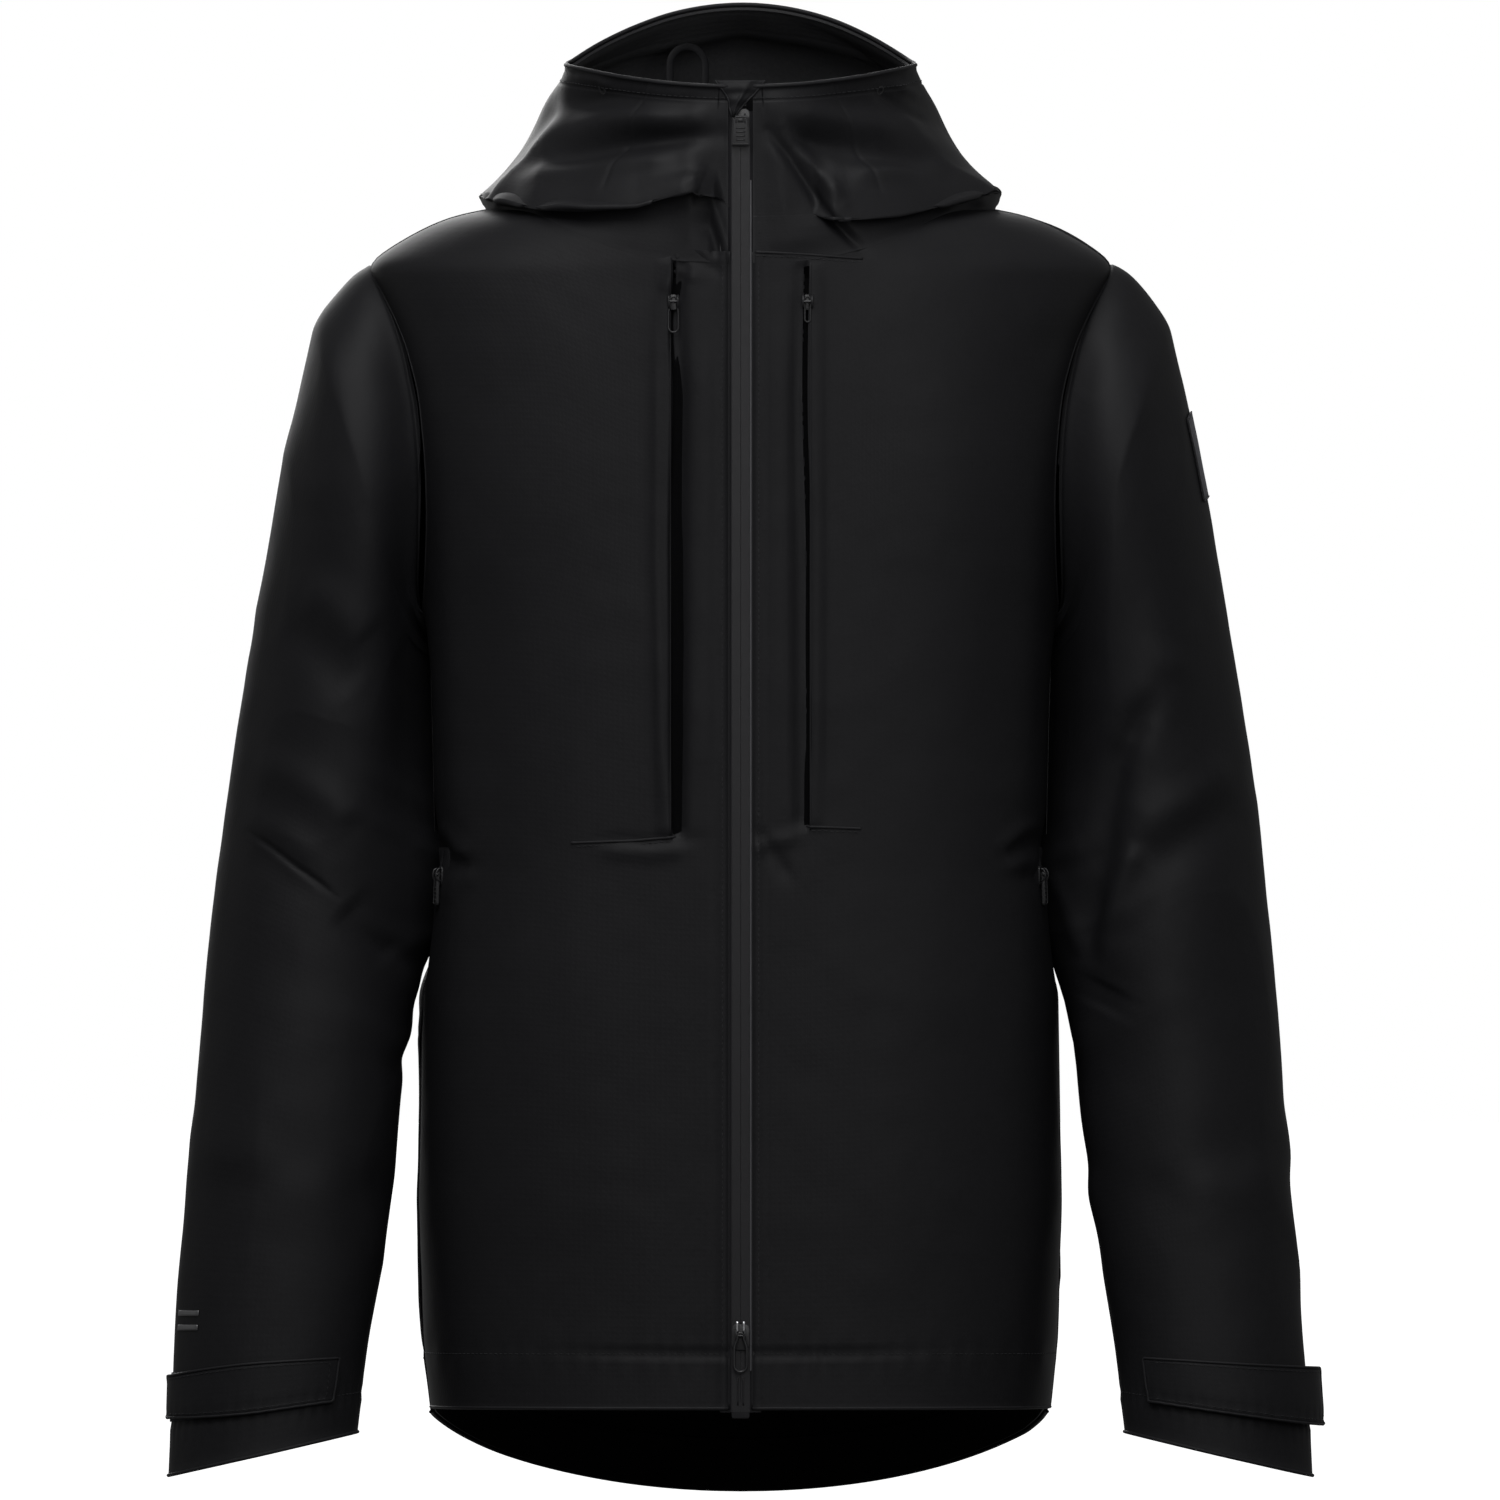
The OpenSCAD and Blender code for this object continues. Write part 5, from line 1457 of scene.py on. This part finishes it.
def sleeve_point(s, a, lift=0.0):
    ox, oh, ix, ih, y, deep = (np.interp(s, *k) for k in SLEEVE_SPREAD)
    reach = np.hypot(ox - ix, oh - ih) / 2
    ux, uh = (ox - ix) / (2 * reach), (oh - ih) / (2 * reach)
    c, sn = np.cos(a), np.sin(a)
    oval = np.stack([(ox + ix) / 2 + ux * (reach + lift) * c + 1.6 * np.clip(c, 0, 1), y + (deep + lift) * sn,
                     (oh + ih) / 2 + uh * (reach + lift) * c], -1)
    ay, ah = ARM_Y + (ARM_DEEP + 0.6) * sn, ARM_MID + (ARM_HALF + 0.6) * c
    start = np.stack([body_x(ay, ah) - 1.0, ay, ah], -1)
    m = smooth(s / 0.13)[..., None]
    # The inner side presses on the body, most of all at the elbow.
    press = np.interp(s, (0, 0.03, 0.08, 0.2, 0.5, 0.57, 0.602, 0.635, 0.66, 0.69, 0.72, 0.76, 0.8),
                      (0, 0, 6, 11, 12, 16, 22, 20, 17, 13.5, 9, 3.5, 0))
    press = press * np.exp(-(((a - np.pi) / 0.62) ** 2))
    return start * (1 - m) + oval * m - np.stack([press, 0 * press, 0 * press], -1)


sleeve_s = steps_between((0, 0.14, 0.5, 0.76, 1), (30, 60, 110, 84))
sleeve_a = np.linspace(0, 2 * np.pi, 184, endpoint=False)
ss, aa = np.meshgrid(sleeve_s[::-1], sleeve_a, indexing="ij")
sleeve_base = sleeve_point(ss, aa)
UP_SHARE = 2150  # millimetres up from the cuff for a whole share of s, near the cuff


def sleeve_details(s, a, p, seed):
    """The armhole seam, the elbow's folds, the sleeve's back seam and the stitched cuff."""
    seam = -0.9 * np.exp(-(((s - 0.022) / 0.006) ** 2)) + 1.4 * np.exp(-(((s - 0.05) / 0.03) ** 2))
    up = (1 - s) * UP_SHARE
    cuff = -0.7 * np.exp(-(((up - 31) / 1.5) ** 2)) + 0.4 * smooth((33 - up) / 3)
    pucker = 0.3 * np.sin(a * 42) * np.exp(-(((up - 29) / 9) ** 2))
    bend = noise(p, 60, 4.4 + seed)
    inner_fold = np.clip(-np.cos(a), 0, 1) ** 0.8
    crease = np.zeros_like(s)
    for at, amp, width, lean in ((0.63, 3.2, 0.012, 0.03), (0.672, 4.0, 0.011, -0.02),
                                 (0.71, 3.0, 0.013, 0.02), (0.57, 2.0, 0.016, 0.03),
                                 (0.77, 2.0, 0.016, -0.03)):
        d = s - at - lean * np.sin(a + 0.6) - 0.008 * bend
        dent = np.exp(-(((d - 1.6 * width) / (width * 1.1)) ** 2))
        crease += amp * (np.exp(-((d / width) ** 2)) - 0.8 * dent)
    crease *= inner_fold * (0.7 + 0.6 * noise(p, 45, 1.1 + seed)) * (0.25 + 0.5 * smooth((s - 0.70) / 0.05))
    back = np.exp(-(((a - 2.0) / 0.012) ** 2)) * -0.7 * smooth((0.97 - s) / 0.02)
    stack = 1.5 * np.exp(-(((s - 0.90) / 0.02) ** 2)) * noise(p, 38, 6.6 + seed)
    crown = 2.4 * np.exp(-(((s - 0.012) / 0.024) ** 2)) * np.clip(np.cos(a), 0, 1) ** 8
    return seam + cuff + pucker + crease + back + stack + crown


def strokes_for(sign):
    return tuple(s for s in SLEEVE_STROKES if sign * s[2][0][0] > 0)


def with_arm(piece):
    """The piece's placement baked into its mesh; it rides on no body."""
    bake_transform(piece)


sleeve_grids = {}
for name, sign, seed in (("left", 1, 20.0), ("right", -1, 26.0)):
    g, s, a = sleeve_base, ss, aa
    if sign < 0:
        g, s, a = (g * mirror_x)[:, ::-1], s[:, ::-1], a[:, ::-1]
    keep = smooth(s / 0.05) * (0.45 + 0.55 * smooth((1 - s) / 0.05))
    grid = settle(g, strokes_for(sign), closed=True, extra=sleeve_details(s, a, g, seed), big=1.1, mid=0.65,
                  small=0.12, seed=seed, keep=keep)
    sleeve_grids[name] = grid
    piece = cloth_grid("sleeve_" + name, grid, 1.3, None, closed=True)
    with_arm(piece)
    stands_in(piece)
    nrm = grid_normals(grid, True)
    up = (1 - sleeve_s[::-1]) * UP_SHARE
    stands_in(cloth_grid("cuff_facing_" + name, (grid - nrm * FACING_IN)[up < FACING_HIGH], 0.8, "arm_" + name,
                         [shell, shell], closed=True))
    edge = tube("cuff_edge_" + name, thin(np.concatenate([grid[0], grid[0][:1]]), 3)[:-1], 1.1, shell,
                closed=True, up=(0, 0, 1))
    line = grid[int(np.argmin(np.abs(up - 31)))]
    line = thin(np.concatenate([line, line[:1]]), 3)
    st = stitches("cuff_stitch_" + name, line, unit(line - line.mean(0)))
    joined("cuff_edge_and_stitching_" + name, [edge, st], "arm_" + name)


def sleeve_skin(name, s, a, lift):
    """Points a set height off the finished sleeve, whose angle a is given as on the left one."""
    grid = sleeve_grids[name]
    nrm = grid_normals(grid, True)
    i = np.interp(s, sleeve_s, np.arange(len(sleeve_s))[::-1])
    i0 = np.clip(np.floor(i).astype(int), 0, len(sleeve_s) - 2)
    fi = (i - i0)[..., None]
    n = len(sleeve_a)
    j = (np.asarray(a) % (2 * np.pi)) / (2 * np.pi) * n
    if name == "right":
        j = (n - 1 - j) % n
    j0 = np.floor(j).astype(int) % n
    j1 = (j0 + 1) % n
    fj = (j - np.floor(j))[..., None]

    def pick(g):
        here, above = (g[k, j0] * (1 - fj) + g[k, j1] * fj for k in (i0, i0 + 1))
        return here * (1 - fi) + above * fi

    return pick(grid) + unit(pick(nrm)) * np.asarray(lift)[..., None]


def on_sleeve(piece_name, name, s0, s1, a0, a1, rows, cols, lift, thick, body, mats, round_end=False,
              flare=0.0, taper=0.0):
    """A strip laid on a sleeve, from angle a0 to a1 and up from s1 to s0."""
    ww, uu = np.meshgrid(np.linspace(0, 1, rows), np.linspace(0, 1, cols), indexing="ij")
    mid, half = (s0 + s1) / 2, (s1 - s0) / 2
    tall = np.ones_like(uu)
    if round_end:
        tall = np.where(uu > 0.93, np.sqrt(np.clip(1 - ((uu - 0.93) / 0.07) ** 2 * 0.55, 0, 1)), 1)
    tall = tall * (1 - taper * smooth((uu - 0.3) / 0.6))
    s = mid + half * (1 - 2 * ww) * tall
    ang = np.radians(a0 + (a1 - a0) * uu)
    pts = sleeve_skin(name, s, ang, lift + flare * uu**3 + 0 * s)
    if name == "right":
        pts = pts[:, ::-1]
    return cloth_grid(piece_name, pts, thick, body, mats), pts


def outline_of(pts):
    """The points round the edge of a grid."""
    return np.concatenate([pts[0], pts[1:, -1], pts[-1, -2::-1], pts[-2:0:-1, 0]])


TAB_LOW = 0.9872
TAB_HIGH = TAB_LOW - 32 / UP_SHARE
TAB_START, TAB_END = 227, 368
for name, flare, lift, taper in (("left", 6.0, 3.2, 0.0), ("right", 0.6, 2.6, 0.26)):
    patch, _ = on_sleeve("loop_patch_" + name, name, TAB_HIGH + 0.001, TAB_LOW - 0.001, 250, 385, 9, 48, 1.0,
                         0.8, "arm_" + name, [pile, pile])
    stands_in(patch)
    tab, pts = on_sleeve("cuff_tab_" + name, name, TAB_HIGH, TAB_LOW, TAB_START, TAB_END, 13, 70, lift, 1.4,
                         None, [shell, webbing], round_end=True, flare=flare, taper=taper)
    ring = outline_of(pts)
    edge = tube("tab_edge", thin(np.concatenate([ring, ring[:1]]), 2)[:-1], 0.8, shell, closed=True)
    inset = np.concatenate([pts[1, 3:-3], pts[1:-1, -4], pts[-2, -4:2:-1]])
    st = stitches("tab_stitch", thin(inset, 2), unit(grid_normals(pts).mean((0, 1))), radius=0.22, lift=0.25)
    stands_in(joined("cuff_tab_" + name, [tab, edge, st], "tab_" + name))
    a0, a1 = (TAB_START + share * (TAB_END - TAB_START) for share in (0.62, 0.97))
    hook, _ = on_sleeve("hook_patch_" + name, name, TAB_HIGH + 0.002, TAB_LOW - 0.002, a0, a1, 7, 24,
                        lift - 1.5 + flare * 0.3, 0.5, "tab_" + name, [pile, pile], flare=flare * 0.4)
    stands_in(hook)

badge, pts = on_sleeve("badge", "left", 0.237, 0.343, -20, 7, 24, 16, 1.0, 0.7, None, [badge_cloth, webbing])
badge_edge = tube("badge_edge", thin(outline_of(pts), 2), 0.5, thread, closed=True)
badge_piece = join("sleeve_badge", [badge, badge_edge])
with_arm(badge_piece)
stands_in(badge_piece)
stands_in(joined("sleeve_mark", [
    on_sleeve("bar", "right", s0, s0 + 0.0016, 320, 345, 4, 14, 0.5, 0.3, None, [print_film, print_film])[0]
    for s0 in (0.9565, 0.9605)], "arm_right"))


# ---- Stage ----
m, nodes, links, bsdf = new_material("floor")
bsdf.inputs["Base Color"].default_value = (0.8, 0.8, 0.8, 1)
bsdf.inputs["Roughness"].default_value = 0.9
bsdf.inputs["Emission Color"].default_value = (1, 1, 1, 1)
bsdf.inputs["Emission Strength"].default_value = 0.92
WIDE, FLOOR_H = 90000.0, -110.0
corners = [(sx * WIDE, sy * WIDE, FLOOR_H) for sx, sy in ((-1, -1), (1, -1), (1, 1), (-1, 1))]
floor = finish_mesh("floor", np.array(corners), [(0, 1, 2, 3)], [m], [0], None)
# The floor only sends the jacket as much light as the rest of the studio does.
floor.visible_diffuse = False
floor.visible_glossy = False
scene.view_settings.view_transform = "Standard"
scene.view_settings.exposure = 0.0
